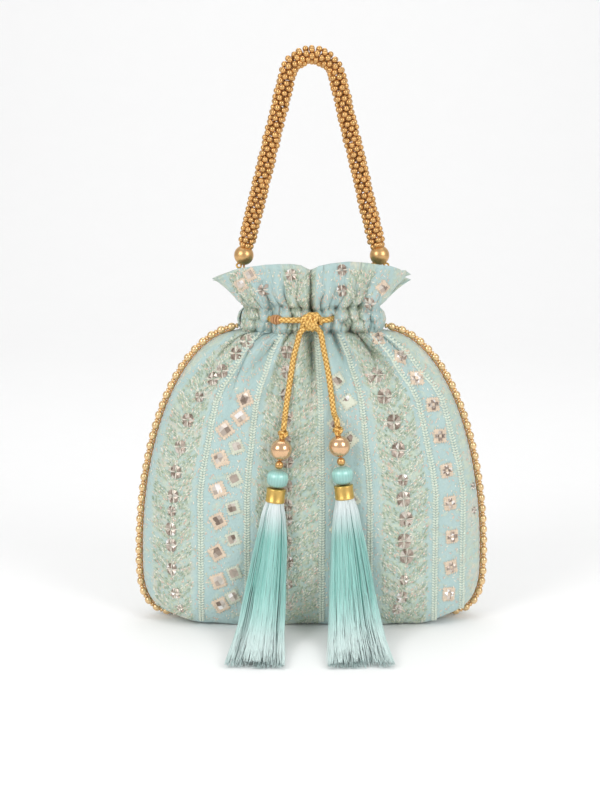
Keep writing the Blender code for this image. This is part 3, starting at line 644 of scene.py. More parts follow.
def braided(points, radius, step=0.00024, sides=30):
    """Vertices, faces and tones of a round braided cord along the points."""
    p, _, n, b = cord_frames(smooth_route(points, step))
    distance = np.concatenate(([0.0], np.cumsum(np.linalg.norm(np.diff(p, axis=0), axis=1))))
    height = plait_height(ring_angles(sides)[None, :], distance[:, None])
    reach = radius * (PLAIT_CORE + (1 - PLAIT_CORE) * height)
    verts = (p[:, None, :] + reach[..., None] * ring_offsets(n, b, sides)).reshape(-1, 3)
    rows = len(p)
    faces = grid_faces(rows, sides, True)
    faces.append(tuple(range(sides - 1, -1, -1)))
    faces.append(tuple(range((rows - 1) * sides, rows * sides)))
    return verts, faces, np.repeat(height.reshape(-1, 1), 3, axis=1)


def braid(name, points, radius, body, *fineness):
    """A piece of braided cord."""
    return link(name, mesh_of(name, *braided(points, radius, *fineness)), paints["cord"], body)


def crease_inside(depth, pleat):
    """How far the deepest fold of a panel's inner skin lies from the seam plane."""
    return depth - 0.6 * pleat - WALL


casing_front = casing_depth + PLEAT_AT_CASING * 0.4
knot_centre = Vector((KNOT_X, -(casing_front + KNOT_HALF[1] - KNOT_SINK), casing_middle - KNOT_DROP))

# Cords and pearls: x, drop below the casing's middle and distance before the panel.
# Skirts: x from their top, distance before the belly and share of their top's height.
TASSELS = {
    "left": {
        "cord": ((-0.0061, 0.0067, 0.0070), (-0.0077, 0.0125, 0.0058), (-0.0096, 0.0201, 0.0043),
                 (-0.0108, 0.0280, 0.0033), (-0.0124, 0.0385, 0.0030), (-0.0138, 0.0485, 0.0034)),
        "pearl": (-0.0160, 0.0668, 0.0067), "lean": (-0.121, -0.075),
        "skirt": ((-0.0012, 0.0062, 0.796), (-0.0032, 0.0090, 0.549), (-0.0055, 0.0145, 0.295),
                  (-0.0072, 0.0250, 0.130), (-0.0085, 0.0410, 0.066), (-0.0095, 0.0600, 0.033)),
        "tip_half_width": 0.0150},
    "right": {
        "cord": ((0.0046, 0.0069, 0.0070), (0.0060, 0.0145, 0.0054), (0.0076, 0.0225, 0.0039),
                 (0.0091, 0.0311, 0.0030), (0.0104, 0.0405, 0.0029), (0.0116, 0.0485, 0.0033)),
        "pearl": (0.0144, 0.0650, 0.0067), "lean": (0.104, -0.075),
        "skirt": ((0.0012, 0.0062, 0.791), (0.0028, 0.0090, 0.550), (0.0044, 0.0145, 0.295),
                  (0.0056, 0.0250, 0.127), (0.0065, 0.0410, 0.064), (0.0073, 0.0600, 0.032)),
        "tip_half_width": 0.0170},
}


def hung(place):
    """A point in front of the bag, from its x, drop and distance before the panel's middle."""
    x, drop, stand_off = place
    height = casing_middle - drop
    rise = (height - FRONT_BELLY_HEIGHT) / (NECK_HEIGHT - FRONT_BELLY_HEIGHT)
    face = blend(BELLY_DEPTH, NECK_DEPTH, min(max(rise, 0.0), 1.0) ** 2)
    return Vector((x, -(face + stand_off), height))


def tassel_places(side):
    facts = TASSELS[side]
    down = Vector((*facts["lean"], -1.0)).normalized()
    pearl = hung(facts["pearl"])
    spacer = pearl + down * (PEARL_RADIUS + GAP + SPACER_RADIUS)
    satin = spacer + down * (SPACER_RADIUS + GAP + SATIN_HEIGHT / 2)
    ferrule = satin + down * (SATIN_HEIGHT / 2 + GAP + FERRULE_HEIGHT / 2)
    end_knot = pearl - down * (PEARL_RADIUS + GAP + END_KNOT_HEIGHT / 2)
    cord_end = end_knot - down * (END_KNOT_HEIGHT / 2 + GAP)
    return {"down": down, "pearl": pearl, "spacer": spacer, "satin": satin, "ferrule": ferrule,
            "end_knot": end_knot, "cord_end": cord_end}


def upright(centre, down):
    return Matrix.Translation(centre) @ Vector((0, 0, 1)).rotation_difference(-down).to_matrix().to_4x4()


def turned(name, profile, sides, place, paint, body, ribs=None, tone=None):
    """Spins (radius, height) points into a closed skin; ribs(around, share) scales the radius."""
    profile = np.array(profile, float)
    around, share = np.meshgrid(ring_angles(sides), np.linspace(0, 1, len(profile)))
    r = profile[:, :1] * (ribs(around, share) if ribs else np.ones_like(share))
    height = np.repeat(profile[:, 1:], sides, 1)
    verts = np.stack((r * np.cos(around), r * np.sin(around), height), -1).reshape(-1, 3)
    faces = [tuple(reversed(f)) for f in grid_faces(len(profile), sides, True)]
    faces.append(tuple(range(sides)))
    base = (len(profile) - 1) * sides
    faces.append(tuple(range(base + sides - 1, base - 1, -1)))
    mesh = mesh_of(name, verts, faces, tone(around, share).reshape(-1, 3) if tone else None)
    mesh.transform(place)
    return link(name, mesh, paint, body)


BEAD_BORE = 0.0007


def ball_profile(radius, count):
    """A round bead's outline, from bore to bore."""
    edge = math.asin(BEAD_BORE / radius)
    outline = []
    for i in range(count):
        angle = blend(edge, math.pi - edge, i / (count - 1))
        outline.append((radius * math.sin(angle), radius * math.cos(angle) / math.cos(edge)))
    return outline


def barrel_profile(radius, half_height, count):
    """A bead squarer than a ball, with rounded shoulders."""
    edge = 0.10
    outline = []
    for i in range(count):
        angle = blend(edge, math.pi - edge, i / (count - 1))
        across, up = math.sin(angle), math.cos(angle)
        outline.append((radius * across ** 0.72, half_height * math.copysign(abs(up) ** 0.85, up)))
    return outline


SILK_STRANDS = 820
OUTER_STRANDS = 600
SILK_CLUMPS = 26
STRAND_RADIUS = 0.00018
STRAND_SIDES = 3
STRAY_EVERY = 40
CORE_SIDES = 16
CORE_SHARE = 0.70
CORE_FLOOR = 0.0003
SKIRT_MOUTH = SKIRT_TOP_RADIUS * 0.93
SKIRT_TIP_HALF_THICKNESS = 0.0019
SKIRT_TUCK = 0.0008
SKIRT_STEP = 0.0036
# The first of these strand colours is a painted highlight just below the ferrule; the last is painted shade on the
# skirt's inner fill.
SILK_HIGHLIGHT, SILK_MINT, SILK_DEEP, SILK_TIP, SILK_CORE_SHADE = [
    np.array(srgb(*tone)) for tone in
    ((240, 250, 250), (172, 224, 216), (142, 206, 196), (232, 248, 246), (120, 196, 184))]


def silk_tones(share, body, rng):
    """A strand's colour along its length: a painted highlight at the top, its own in the middle, pale at the tip."""
    # Painted highlight at the top of each strand, fading into its own colour.
    colour = SILK_HIGHLIGHT + (body - SILK_HIGHLIGHT) * smooth((share - 0.03) / 0.19)
    colour = colour + (SILK_TIP - colour) * smooth((share - 0.44) / 0.40) * 0.95
    return np.clip(colour * rng.uniform(0.90, 1.10), 0, 1)


def strand_bundle(side, places, rng):
    """The silk skirt: hundreds of fine strands that fall from the ferrule and spread on the floor."""
    facts = TASSELS[side]
    down = places["down"]
    top = places["ferrule"] + down * (FERRULE_HEIGHT / 2 - SKIRT_TUCK)
    fall = [Vector((top.x + x, -(BELLY_DEPTH + out), top.z * part)) for x, out, part in facts["skirt"]]
    p, t, _, _ = cord_frames(smooth_route([top, top + down * SKIRT_TOP_RADIUS] + fall, SKIRT_STEP))
    rows = len(p)
    share = np.linspace(0, 1, rows)
    width = blend(SKIRT_MOUTH, facts["tip_half_width"], share ** 0.68)
    thickness = blend(SKIRT_MOUTH, SKIRT_TIP_HALF_THICKNESS, smooth(share))
    across = np.array((1.0, 0, 0)) - t * t[:, :1]
    across /= np.linalg.norm(across, axis=1)[:, None]
    out = np.cross(t, across)
    verts, faces, tones = [], [], []
    clumps = rng.uniform(0, 2 * math.pi, SILK_CLUMPS)
    for index in range(SILK_STRANDS):
        angle = clumps[index % SILK_CLUMPS] + rng.normal(0, 0.16)
        ring = 1.0 if index < OUTER_STRANDS else math.sqrt(rng.uniform(0.05, 0.9))
        ring *= rng.uniform(0.93, 1.0)
        drift = rng.normal(0, 0.10)
        end = int(round(rows * (1 - 0.13 * rng.uniform() ** 2)))
        if index % STRAY_EVERY == 0:
            drift += rng.choice((-1, 1)) * 0.35
            ring *= 1.04
        a = angle + drift * share ** 2
        wave = rng.normal(0, 0.00022) * np.sin(share * rng.uniform(5, 11) + rng.uniform(0, 6))
        x = np.cos(a) * ring * width + wave
        y = np.sin(a) * ring * thickness
        line = p + across * x[:, None] + out * y[:, None]
        line[:, 2] = np.maximum(line[:, 2], 0.00035 + 0.0003 * rng.uniform(0, 1))
        line = line[:max(end, 4)]
        n = len(line)
        radius = STRAND_RADIUS * np.concatenate((np.ones(n - 1), [0.35]))
        along = np.gradient(line, axis=0)
        along /= np.linalg.norm(along, axis=1)[:, None]
        first = np.cross(along, (1.0, 0.0, 0.0))
        first /= np.linalg.norm(first, axis=1)[:, None]
        offsets = ring_offsets(first, np.cross(along, first), STRAND_SIDES)
        start = len(verts)
        verts.extend((line[:, None, :] + radius[:, None, None] * offsets).reshape(-1, 3).tolist())
        faces.extend(grid_faces(n, STRAND_SIDES, True, start))
        body = SILK_MINT if rng.uniform() > 0.30 else SILK_DEEP * rng.uniform(0.85, 1.05)
        tones.extend(np.repeat(silk_tones(share[:n][:, None], body, rng), STRAND_SIDES, axis=0).tolist())
    # The inner fill keeps the skirt from showing through; its darker colour is painted shade.
    core = len(verts)
    filled = int(rows * CORE_SHARE)
    slim = (0.80 - 0.55 * smooth((share - 0.35) / 0.35))[:, None, None]
    block = p[:, None, :] + slim * ring_offsets(width[:, None] * across, thickness[:, None] * out, CORE_SIDES)
    block = block[:filled]
    block[..., 2] = np.maximum(block[..., 2], CORE_FLOOR)
    verts.extend(block.reshape(-1, 3).tolist())
    faces.extend(grid_faces(filled, CORE_SIDES, True, core))
    faces.append(tuple(range(core + (filled - 1) * CORE_SIDES, core + filled * CORE_SIDES)))
    tones.extend([SILK_CORE_SHADE.tolist()] * (filled * CORE_SIDES))
    name = side + "_silk_strands"
    made = link(name, mesh_of(name, verts, faces, np.array(tones)), paints["silk"], side + "_tassel")
    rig.replaces(made, side + "_tassel_skirt", side + "_tassel_thread")
    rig.slot(made, "silk_strands")


END_KNOT_HALF = (0.0031, 0.0029, 0.0030)
END_KNOT_CORD = 0.00115


def tight_knot(name, place, body):
    """A tied knot: a cord that crosses itself three times, drawn up tight."""
    points = []
    count = 42
    for i in range(count + 1):
        a = 2 * math.pi * i / count
        curl = ((math.sin(a) + 2 * math.sin(2 * a)) / 3, -math.sin(3 * a), (math.cos(a) - 2 * math.cos(2 * a)) / 3)
        points.append(Vector([c * (half - END_KNOT_CORD) for c, half in zip(curl, END_KNOT_HALF)]))
    mesh = mesh_of(name, *braided(points, END_KNOT_CORD, 0.0003, 20))
    mesh.transform(place)
    return link(name, mesh, paints["cord"], body)


def wound_ribs(around, share):
    return 1 + 0.005 * np.sin(around * 44) + 0.003 * np.sin(around * 17 + share * 5)


# The satin bead's colour: the threads' own stripes, and a painted highlight band a little above its middle.
def wound_tone_and_highlight(around, share):
    base = np.array(srgb(148, 198, 190))
    thread = 0.06 * np.sin(around * 22 + 1.3) + 0.04 * np.sin(around * 51)
    # Painted highlight: the Gaussian term lightens a band round the bead.
    bright = 0.88 + thread + 0.36 * np.exp(-((share - 0.38) / 0.11) ** 2)
    return np.clip(base[None, None, :] * bright[..., None], 0, 1)


def ferrule_profile():
    """A brass cup with a rolled edge at its top and bottom, hollow below."""
    h, r = FERRULE_HEIGHT / 2, FERRULE_RADIUS
    return [(0.0009, h), (r - 0.0006, h), (r - 0.00018, h - 0.00012), (r, h - 0.0005), (r, h - 0.0009),
            (r - 0.00012, h - 0.0010), (r - 0.00012, 0.0011 - h), (r, 0.0009 - h), (r, 0.0004 - h),
            (r - 0.0002, 0.0001 - h), (r - 0.0004, -h), (r - 0.0007, 0.0002 - h), (r - 0.0007, h - 0.001),
            (0.0009, h - 0.001)]


# The hanging beads: place, name, outline, sides, node that it stands for, slot and paint, looks
HANGING_BEADS = (
    ("pearl", "_pearl", ball_profile(PEARL_RADIUS, 40), 56, "_pearl_bead", "pearl_beads", "pearl"),
    ("spacer", "_spacer", ball_profile(SPACER_RADIUS, 24), 32, "_spacer_bead", "gold_beads", "gold_bead"),
    ("satin", "_wound_bead", barrel_profile(SATIN_RADIUS, SATIN_HEIGHT / 2, 34), 184, "_satin_bead",
     "satin_winding", "satin", wound_ribs, wound_tone_and_highlight),
    ("ferrule", "_brass_ferrule", ferrule_profile(), 64, "_ferrule", "ferrule_brass", "ferrule"),
)
CORD_IN_KNOT = 0.0040


def make_tassels():
    """Each hanging cord with its tied end, beads, ferrule and silk."""
    rng = np.random.default_rng(7)
    for side in ("left", "right"):
        body = side + "_tassel"
        places = tassel_places(side)
        down = places["down"]
        hanging = [hung(place) for place in TASSELS[side]["cord"]]
        inward = (knot_centre - hanging[0]).normalized()
        route = [hanging[0] + inward * CORD_IN_KNOT] + hanging
        route += [places["cord_end"] - down * 2 * CORD_RADIUS, places["cord_end"]]
        cord = stand_in(braid(side + "_braided_cord", route, CORD_RADIUS, body), side + "_cord", "gold_cord")
        hung_on = [stand_in(tight_knot(side + "_tied_end", upright(places["end_knot"], down), body),
                            side + "_end_knot", "gold_cord")]
        for place, name, profile, sides, node, slot, paint, *looks in HANGING_BEADS:
            bead = turned(side + name, profile, sides, upright(places[place], down), paints[paint], body, *looks)
            hung_on.append(stand_in(bead, side + node, slot))
        hung_on[-1].data.set_sharp_from_angle(angle=math.radians(50))
        strand_bundle(side, places, rng)
        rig.cord(cord, exit=hanging[0], length=route_length(smooth_route(route, 0.001)), diameter=2 * CORD_RADIUS,
                far_end="knot", stiffness="limp", lay="hanging", path=smooth_route(route, 0.003),
                with_pieces=hung_on)


# Gathered cloth

# Half width of the cloth's side edge from the neck to the casing's top: knuckles, then the fan begins
SIDE_EDGE = ((0.1585, 0.1605, 0.1645, 0.1685, 0.1710, 0.1745),
             (0.0372, 0.0381, 0.0386, 0.0376, 0.0354, 0.0396))
GATHER_LINES = (0.1595, 0.1712)
CORNER_ROWS, BODY_ROWS, CASING_ROWS, RUFFLE_ROWS = 26, 84, 30, 30
FRONT_COLUMNS, BACK_COLUMNS = 221, 181
SEAM_POWER = 2 / 3


def panel_levels(rim_drop):
    """Rows from the bottom seam to the rim.

    Each has half, side_z, depth, mid_z, pleat, power, turn, inward y and z, and the ruffle's share.
    """
    quarter = math.radians(90)
    reach = 1.3 * trim_offset
    rows = [(FOOT_HALF_WIDTH - 0.012, seam_floor, 0.0, seam_floor, 0, FOOT_SQUARENESS, 0.0, 0.0, 1.0, 0)]
    for i, angle in enumerate((math.radians(60), math.radians(110))):
        rows.append((FOOT_HALF_WIDTH - 0.009 + 0.003 * i, seam_floor, reach * math.sin(angle),
                     trim_offset + reach * math.cos(angle), 0, FOOT_SQUARENESS, 0.0,
                     math.sin(angle * 0.55), math.cos(angle * 0.55), 0))
    rows.append((FOOT_HALF_WIDTH - 0.003, seam_floor, FOOT_INNER_DEPTH, 0.0, 0, FOOT_SQUARENESS, 0.0,
                 0.3, 0.95, 0))
    for i in range(CORNER_ROWS + 1):
        share = i / CORNER_ROWS
        turn = quarter * i / CORNER_ROWS
        out, up = math.sin(turn), max(math.cos(turn), 0.0)
        rows.append((blend(FOOT_HALF_WIDTH, BELLY_HALF_WIDTH, out ** SEAM_POWER),
                     blend(seam_floor, SEAM_BELLY_HEIGHT, 1 - up ** SEAM_POWER),
                     blend(FOOT_DEPTH, BELLY_DEPTH, out ** 0.9), FRONT_BELLY_HEIGHT * (1 - up ** 0.9),
                     PLEAT_AT_BELLY * i / CORNER_ROWS,
                     blend(FOOT_SQUARENESS, BELLY_SQUARENESS, float(smooth(share))), turn,
                     -math.sin(turn), math.cos(turn), 0))
    for i in range(1, BODY_ROWS + 1):
        turn = quarter * i / BODY_ROWS
        rise = math.sin(turn)
        rows.append((blend(NECK_HALF_WIDTH, BELLY_HALF_WIDTH, math.cos(turn)),
                     blend(SEAM_BELLY_HEIGHT, NECK_HEIGHT, rise), blend(BELLY_DEPTH, NECK_DEPTH, rise * rise),
                     blend(FRONT_BELLY_HEIGHT, NECK_HEIGHT, rise),
                     blend(PLEAT_AT_BELLY, PLEAT_AT_NECK, rise ** 3),
                     blend(BELLY_SQUARENESS, NECK_SQUARENESS, rise), quarter, -1.0, 0.0, 0))
    for i in range(1, CASING_ROWS + 1):
        share = i / CASING_ROWS
        puff = math.sin(math.pi * share)
        height = NECK_HEIGHT + CASING_HEIGHT * share
        rows.append((float(np.interp(height, *SIDE_EDGE)), height, NECK_DEPTH + CASING_PUFF_DEPTH * puff, height,
                     blend(PLEAT_AT_NECK, PLEAT_AT_CASING, puff), NECK_SQUARENESS, quarter, -1.0, 0.0, 0))
    for i in range(1, RUFFLE_ROWS + 1):
        share = i / RUFFLE_ROWS
        mid_z = casing_top + (RUFFLE_HEIGHT - rim_drop) * share
        rows.append((blend(SIDE_EDGE[1][-1], RUFFLE_TIP_HALF_WIDTH, share), mid_z,
                     blend(NECK_DEPTH, RIM_DEPTH, share), mid_z, blend(PLEAT_AT_NECK, PLEAT_AT_RIM, share),
                     NECK_SQUARENESS, quarter, -1.0, 0.0, share))
    return np.array(rows, float)


def puffs(share, folds):
    stops = np.array((-1.0, *folds, 1.0))
    index = np.clip(np.searchsorted(stops, share, side="right") - 1, 0, len(stops) - 2)
    along = (share - stops[index]) / (stops[index + 1] - stops[index])
    return np.sqrt(np.clip(4 * along * (1 - along), 0, 1))


# Height of the ruffle's rim over the casing's top, at places across the bag
FRONT_RIM = (
    (-0.053, 0.0102), (-0.047, 0.0140), (-0.0385, 0.0178), (-0.0248, 0.0200), (-0.012, 0.0202), (-0.0055, 0.0196),
    (-0.0008, 0.0172), (0.0036, 0.0197), (0.010, 0.0210), (0.0198, 0.0215), (0.030, 0.0208), (0.0413, 0.0190),
    (0.0460, 0.0172), (0.0475, 0.0158), (0.0490, 0.0165), (0.053, 0.0130))
BACK_RIM = (
    (-0.053, 0.0105), (-0.045, 0.0128), (-0.034, 0.0150), (-0.018, 0.0160), (-0.004, 0.0152), (0.003, 0.0144),
    (0.012, 0.0158), (0.028, 0.0160), (0.041, 0.0150), (0.053, 0.0112))

# Creases in the cloth: points (x, z) along each, its depth, and half its width at the start and the end
FRONT_CREASES = (
    (((-0.0225, 0.1615), (-0.030, 0.156), (-0.0375, 0.1505)), 0.0040, 0.0018, 0.0034),
    (((-0.0190, 0.1540), (-0.0262, 0.145), (-0.0355, 0.133), (-0.0440, 0.121)), 0.0045, 0.0020, 0.0052),
    (((0.0160, 0.1640), (0.0225, 0.1580), (0.0320, 0.1480), (0.0395, 0.1400), (0.0458, 0.1310), (0.0485, 0.1250)),
     0.0066, 0.0020, 0.0038),
    (((-0.0020, 0.1610), (-0.0005, 0.1490), (0.0020, 0.1350), (0.0028, 0.1180)), 0.0064, 0.0026, 0.0056),
    (((-0.0090, 0.1585), (-0.0120, 0.1480), (-0.0160, 0.1330), (-0.0190, 0.1150)), 0.0026, 0.0018, 0.0055),
    (((0.0100, 0.1590), (0.0150, 0.1490), (0.0210, 0.1370), (0.0240, 0.1200)), 0.0030, 0.0018, 0.0055),
    (((0.0260, 0.1590), (0.0380, 0.1530), (0.0500, 0.1440), (0.0590, 0.1330)), 0.0024, 0.0018, 0.0050),
    (((-0.0290, 0.1590), (-0.0420, 0.1520), (-0.0540, 0.1420), (-0.0620, 0.1300)), 0.0022, 0.0018, 0.0050),
    (((-0.0212, 0.1660), (-0.0225, 0.1760), (-0.0262, 0.1870)), 0.0046, 0.0018, 0.0040),
    (((-0.0160, 0.1690), (-0.0146, 0.1770), (-0.0150, 0.1850)), 0.0020, 0.0014, 0.0030),
    (((-0.0006, 0.1660), (-0.0006, 0.1750), (-0.0004, 0.1850), (-0.0006, 0.1960)), 0.0056, 0.0012, 0.0015),
    (((0.0112, 0.1690), (0.0128, 0.1780), (0.0160, 0.1860)), 0.0026, 0.0015, 0.0030),
    (((0.0185, 0.1680), (0.0196, 0.1770), (0.0206, 0.1840)), 0.0022, 0.0012, 0.0024),
    (((0.0236, 0.1670), (0.0256, 0.1750), (0.0290, 0.1860)), 0.0050, 0.0019, 0.0046),
    (((0.0296, 0.1610), (0.0304, 0.1660), (0.0296, 0.1715)), 0.0036, 0.0014, 0.0016),
    (((0.0342, 0.1640), (0.0350, 0.1690), (0.0372, 0.1740)), 0.0030, 0.0012, 0.0020),
    (((-0.0290, 0.1620), (-0.0282, 0.1670), (-0.0300, 0.1725)), 0.0034, 0.0013, 0.0018),
)
RUFFLE_FOLDS = (-0.90, -0.74, -0.56, -0.45, -0.32, -0.17, -0.015, 0.13, 0.25, 0.38, 0.52, 0.66, 0.84)
BACK_RUFFLE_FOLDS = (-0.86, -0.70, -0.52, -0.38, -0.20, -0.04, 0.12, 0.30, 0.46, 0.60, 0.78, 0.90)
BACK_CREASES = (
    (((0.0190, 0.1600), (0.0290, 0.1490), (0.0400, 0.1340)), 0.0026, 0.0018, 0.0045),
    (((-0.0180, 0.1600), (-0.0270, 0.1480), (-0.0350, 0.1300)), 0.0028, 0.0018, 0.0050),
    (((0.0010, 0.1600), (0.0025, 0.1440), (0.0020, 0.1240)), 0.0026, 0.0018, 0.0050),
    (((-0.0085, 0.1600), (-0.0130, 0.1450), (-0.0160, 0.1260)), 0.0018, 0.0016, 0.0050),
    (((0.0105, 0.1600), (0.0150, 0.1450), (0.0190, 0.1240)), 0.0018, 0.0016, 0.0050),
    (((0.0280, 0.1590), (0.0410, 0.1520), (0.0540, 0.1400)), 0.0016, 0.0016, 0.0045),
    (((-0.0280, 0.1590), (-0.0410, 0.1520), (-0.0540, 0.1400)), 0.0016, 0.0016, 0.0045),
)


def crease_depth(x, z, creases):
    """How far the creases draw the cloth in, with a soft roll beside each."""
    total = np.zeros_like(x)
    for points, depth, start, end in creases:
        line = np.array(smooth_route([(px, 0, pz) for px, pz in points], 0.0012))
        sx, sz = line[:, 0], line[:, 2]
        d = np.sqrt((x[..., None] - sx) ** 2 + (z[..., None] - sz) ** 2)
        nearest = d.argmin(-1)
        share = nearest / (len(line) - 1)
        width = start + (end - start) * share
        fade = np.clip(np.sin(math.pi * (0.12 + 0.88 * share) ** 0.8) ** 0.7, 0, 1)
        q = d.min(-1) / width
        total += depth * fade * (np.exp(-q ** 1.3) - 0.30 * np.exp(-((q - 2.2) / 0.9) ** 2))
    return total


def knuckles(share, count, phase):
    """Small tight gathers along the casing, unevenly spaced, 0 in each gap and 1 on each crown."""
    warped = share * count / 2 + 0.55 * np.sin(share * 5.1 + phase) + 0.30 * np.sin(share * 11.7 + 2.1 * phase) + phase
    f = warped - np.floor(warped)
    return np.sqrt(np.clip(4 * f * (1 - f), 0, 1))


def stripe_share(z):
    """How much the stripes have closed up towards the neck, 1 at the belly."""
    heights = (0.0, 0.072, 0.086, 0.098, 0.111, 0.122, 0.130, 0.137, 0.147, 0.157, 0.166, 0.1755, 0.185, 0.197)
    shares = (1.0, 1.0, 0.97, 0.93, 0.89, 0.85, 0.79, 0.71, 0.62, 0.48, 0.43, 0.44, 0.50, 0.56)
    return np.interp(z, heights, shares)


KNOB_HEIGHTS = (0.1626, 0.1687)
KNOB_PITCH = 0.0058
KNOB_RADIUS = 0.0046


def knobs(x, z, seed):
    """The casing's puffy gathers: round lumps, about 6 mm across, with deep gaps between them."""
    rng = np.random.default_rng(seed)
    middles = []
    for row, height in enumerate(KNOB_HEIGHTS):
        for i in range(-7, 8):
            middle = (i + 0.5 * row) * KNOB_PITCH + rng.uniform(-0.0016, 0.0016)
            middles.append((middle, height + rng.uniform(-0.0014, 0.0014)))
    middles = np.array(middles)
    d = np.sqrt((x[..., None] - middles[:, 0]) ** 2 + ((z[..., None] - middles[:, 1]) * 0.80) ** 2)
    d.sort(axis=-1)
    lump = np.sqrt(np.clip(1 - (d[..., 0] / KNOB_RADIUS) ** 2, 0, 1))
    gap = np.exp(-((d[..., 1] - d[..., 0]) / 0.0009) ** 2)
    window = smooth((z - 0.1576) / 0.0028) * smooth((0.1732 - z) / 0.0024)
    strength = 0.62 + 0.38 * smooth(np.abs(x - 0.002) / 0.026)
    return window * strength * (0.0030 * (lump - 0.45) - 0.0022 * gap)


def ruffle_folds(u, z, top, facing):
    """Folds that start at the upper gathers, spread, and soften towards the rim."""
    share = np.clip((z - GATHER_LINES[1]) / np.maximum(top - GATHER_LINES[1], 0.001), 0, 1)
    inside = smooth((z - GATHER_LINES[1] + 0.0012) / 0.0016)
    folds = RUFFLE_FOLDS if facing > 0 else BACK_RUFFLE_FOLDS
    fold = puffs(np.clip(u + 0.02 * np.sin(9 * share + 4 * u), -1, 1), folds)
    sharp = (0.0034 * (fold - 0.66)) * (1 - 0.86 * smooth(share * 1.15))
    broad = 0.0020 * np.sin(u * 5.6 + 0.9 * facing) + 0.0013 * np.sin(u * 11.0 + 1.7 - 1.2 * share)
    roll = 0.0007 * np.exp(-((share - 0.93) / 0.07) ** 2)
    belly = 0.0030 * np.sin(math.pi * share ** 0.75)
    return inside * (sharp + broad * smooth(share * 1.6) * (1 - np.abs(u) ** 6) + belly + roll)


def panel_shape(folds, creases, rim, rim_drop, facing, columns):
    """Outer and inner points of a panel, row by row, with its places across and up before the relief."""
    levels = panel_levels(rim_drop)
    half, side_z, depth, mid_z, pleat, power, turn, inward_y, inward_z, ruffle = levels.T[:, :, None]
    u = columns[None, :]
    puff = puffs(u + 0 * half, folds)
    corner = turn < math.pi / 2 - 1e-6
    lift = np.where(corner, smooth((np.abs(u) - LIFT_START) / (1 - LIFT_START)), np.abs(u) ** 3)
    bulge = np.clip(1 - np.abs(u) ** power, 0, 1) ** BULGE_ROOT
    x = half * u
    table = np.array(rim)
    top = casing_top + np.interp(x * facing, table[:, 0], table[:, 1])
    z0 = np.where(ruffle > 0, casing_top + (top - casing_top) * ruffle, mid_z + (side_z - mid_z) * lift)
    neck = smooth((z0 - 0.100) / 0.058)
    above = smooth((z0 - 0.168) / 0.004)
    sway = 0.0009 * np.sin(u * 7.3 + 1.1 * facing) + 0.0006 * np.sin(u * 17.0 + 0.4)
    relief = pleat * (puff - 0.6) * (1 + 0.9 * neck) * (1 - above)
    low, high = GATHER_LINES
    relief = relief - 0.0022 * np.exp(-((z0 - low - sway) / 0.0016) ** 2)
    relief = relief - 0.0026 * np.exp(-((z0 - high + sway) / 0.0014) ** 2)
    relief = relief + knobs(x, z0 + sway * 0.5, 4 if facing > 0 else 9)
    fine = knuckles(u, 27, 2.2 + facing)
    relief = relief + 0.0014 * np.exp(-((z0 - 0.1545) / 0.0055) ** 2) * (fine - 0.66)
    relief = relief + ruffle_folds(u, z0, top, facing)
    relief = relief - crease_depth(x * facing, z0, creases)
    relief = relief + 0.0012 * ruffle * np.exp(-((x * facing - HANDLE_BEAD_X) / 0.007) ** 2)
    for across in ROPE_LINES:
        line = across * stripe_share(z0)
        relief = relief - 0.0007 * np.exp(-((x - line) / 0.0020) ** 2) * (1 - neck) * smooth((z0 - 0.004) / 0.01)
    bumps = np.zeros_like(relief)
    for i in range(bumps.shape[0]):
        for j in range(bumps.shape[1]):
            spot = Vector((x[i, j] * 60, facing * 3.0, z0[i, j] * 44))
            bumps[i, j] = noise.noise(spot) + 0.5 * noise.noise(spot * 2.9)
    relief = relief + bumps * (0.0007 + 0.0011 * neck * (1 - 0.6 * above)) * np.clip((z0 - 0.006) / 0.02, 0, 1)
    pucker = 0.0011 * (0.5 + 0.5 * np.sin(u * 19.0 + 2.0)) * np.exp(-((mid_z - 0.004) / 0.006) ** 2)
    pucker = pucker * corner * (np.abs(u) < 0.86)
    skins = []
    for inset in (0.0, WALL):
        reach = depth + np.where(z0 > 0.006, relief, 0.0) + inward_y * inset
        y = -(GAP / 2 + bulge * np.maximum(reach, 0.0008 * (z0 > 0.02)))
        up = (inward_z + (np.cos(turn) - inward_z) * lift) * inset
        up = np.where(ruffle >= 1, 0.0, up)
        shift = 0.0010 * facing * np.exp(-((z0 - 0.1655) / 0.006) ** 2)
        skins.append(np.stack(((half - inset * np.sin(turn)) * u + shift, y * facing, z0 + up + pucker), -1))
    return skins, x, z0


def side_columns(count):
    """Places across a panel, closer together towards the seams."""
    a = np.linspace(-1, 1, count)
    return np.sign(a) * (1 - (1 - np.abs(a)) ** 1.25)


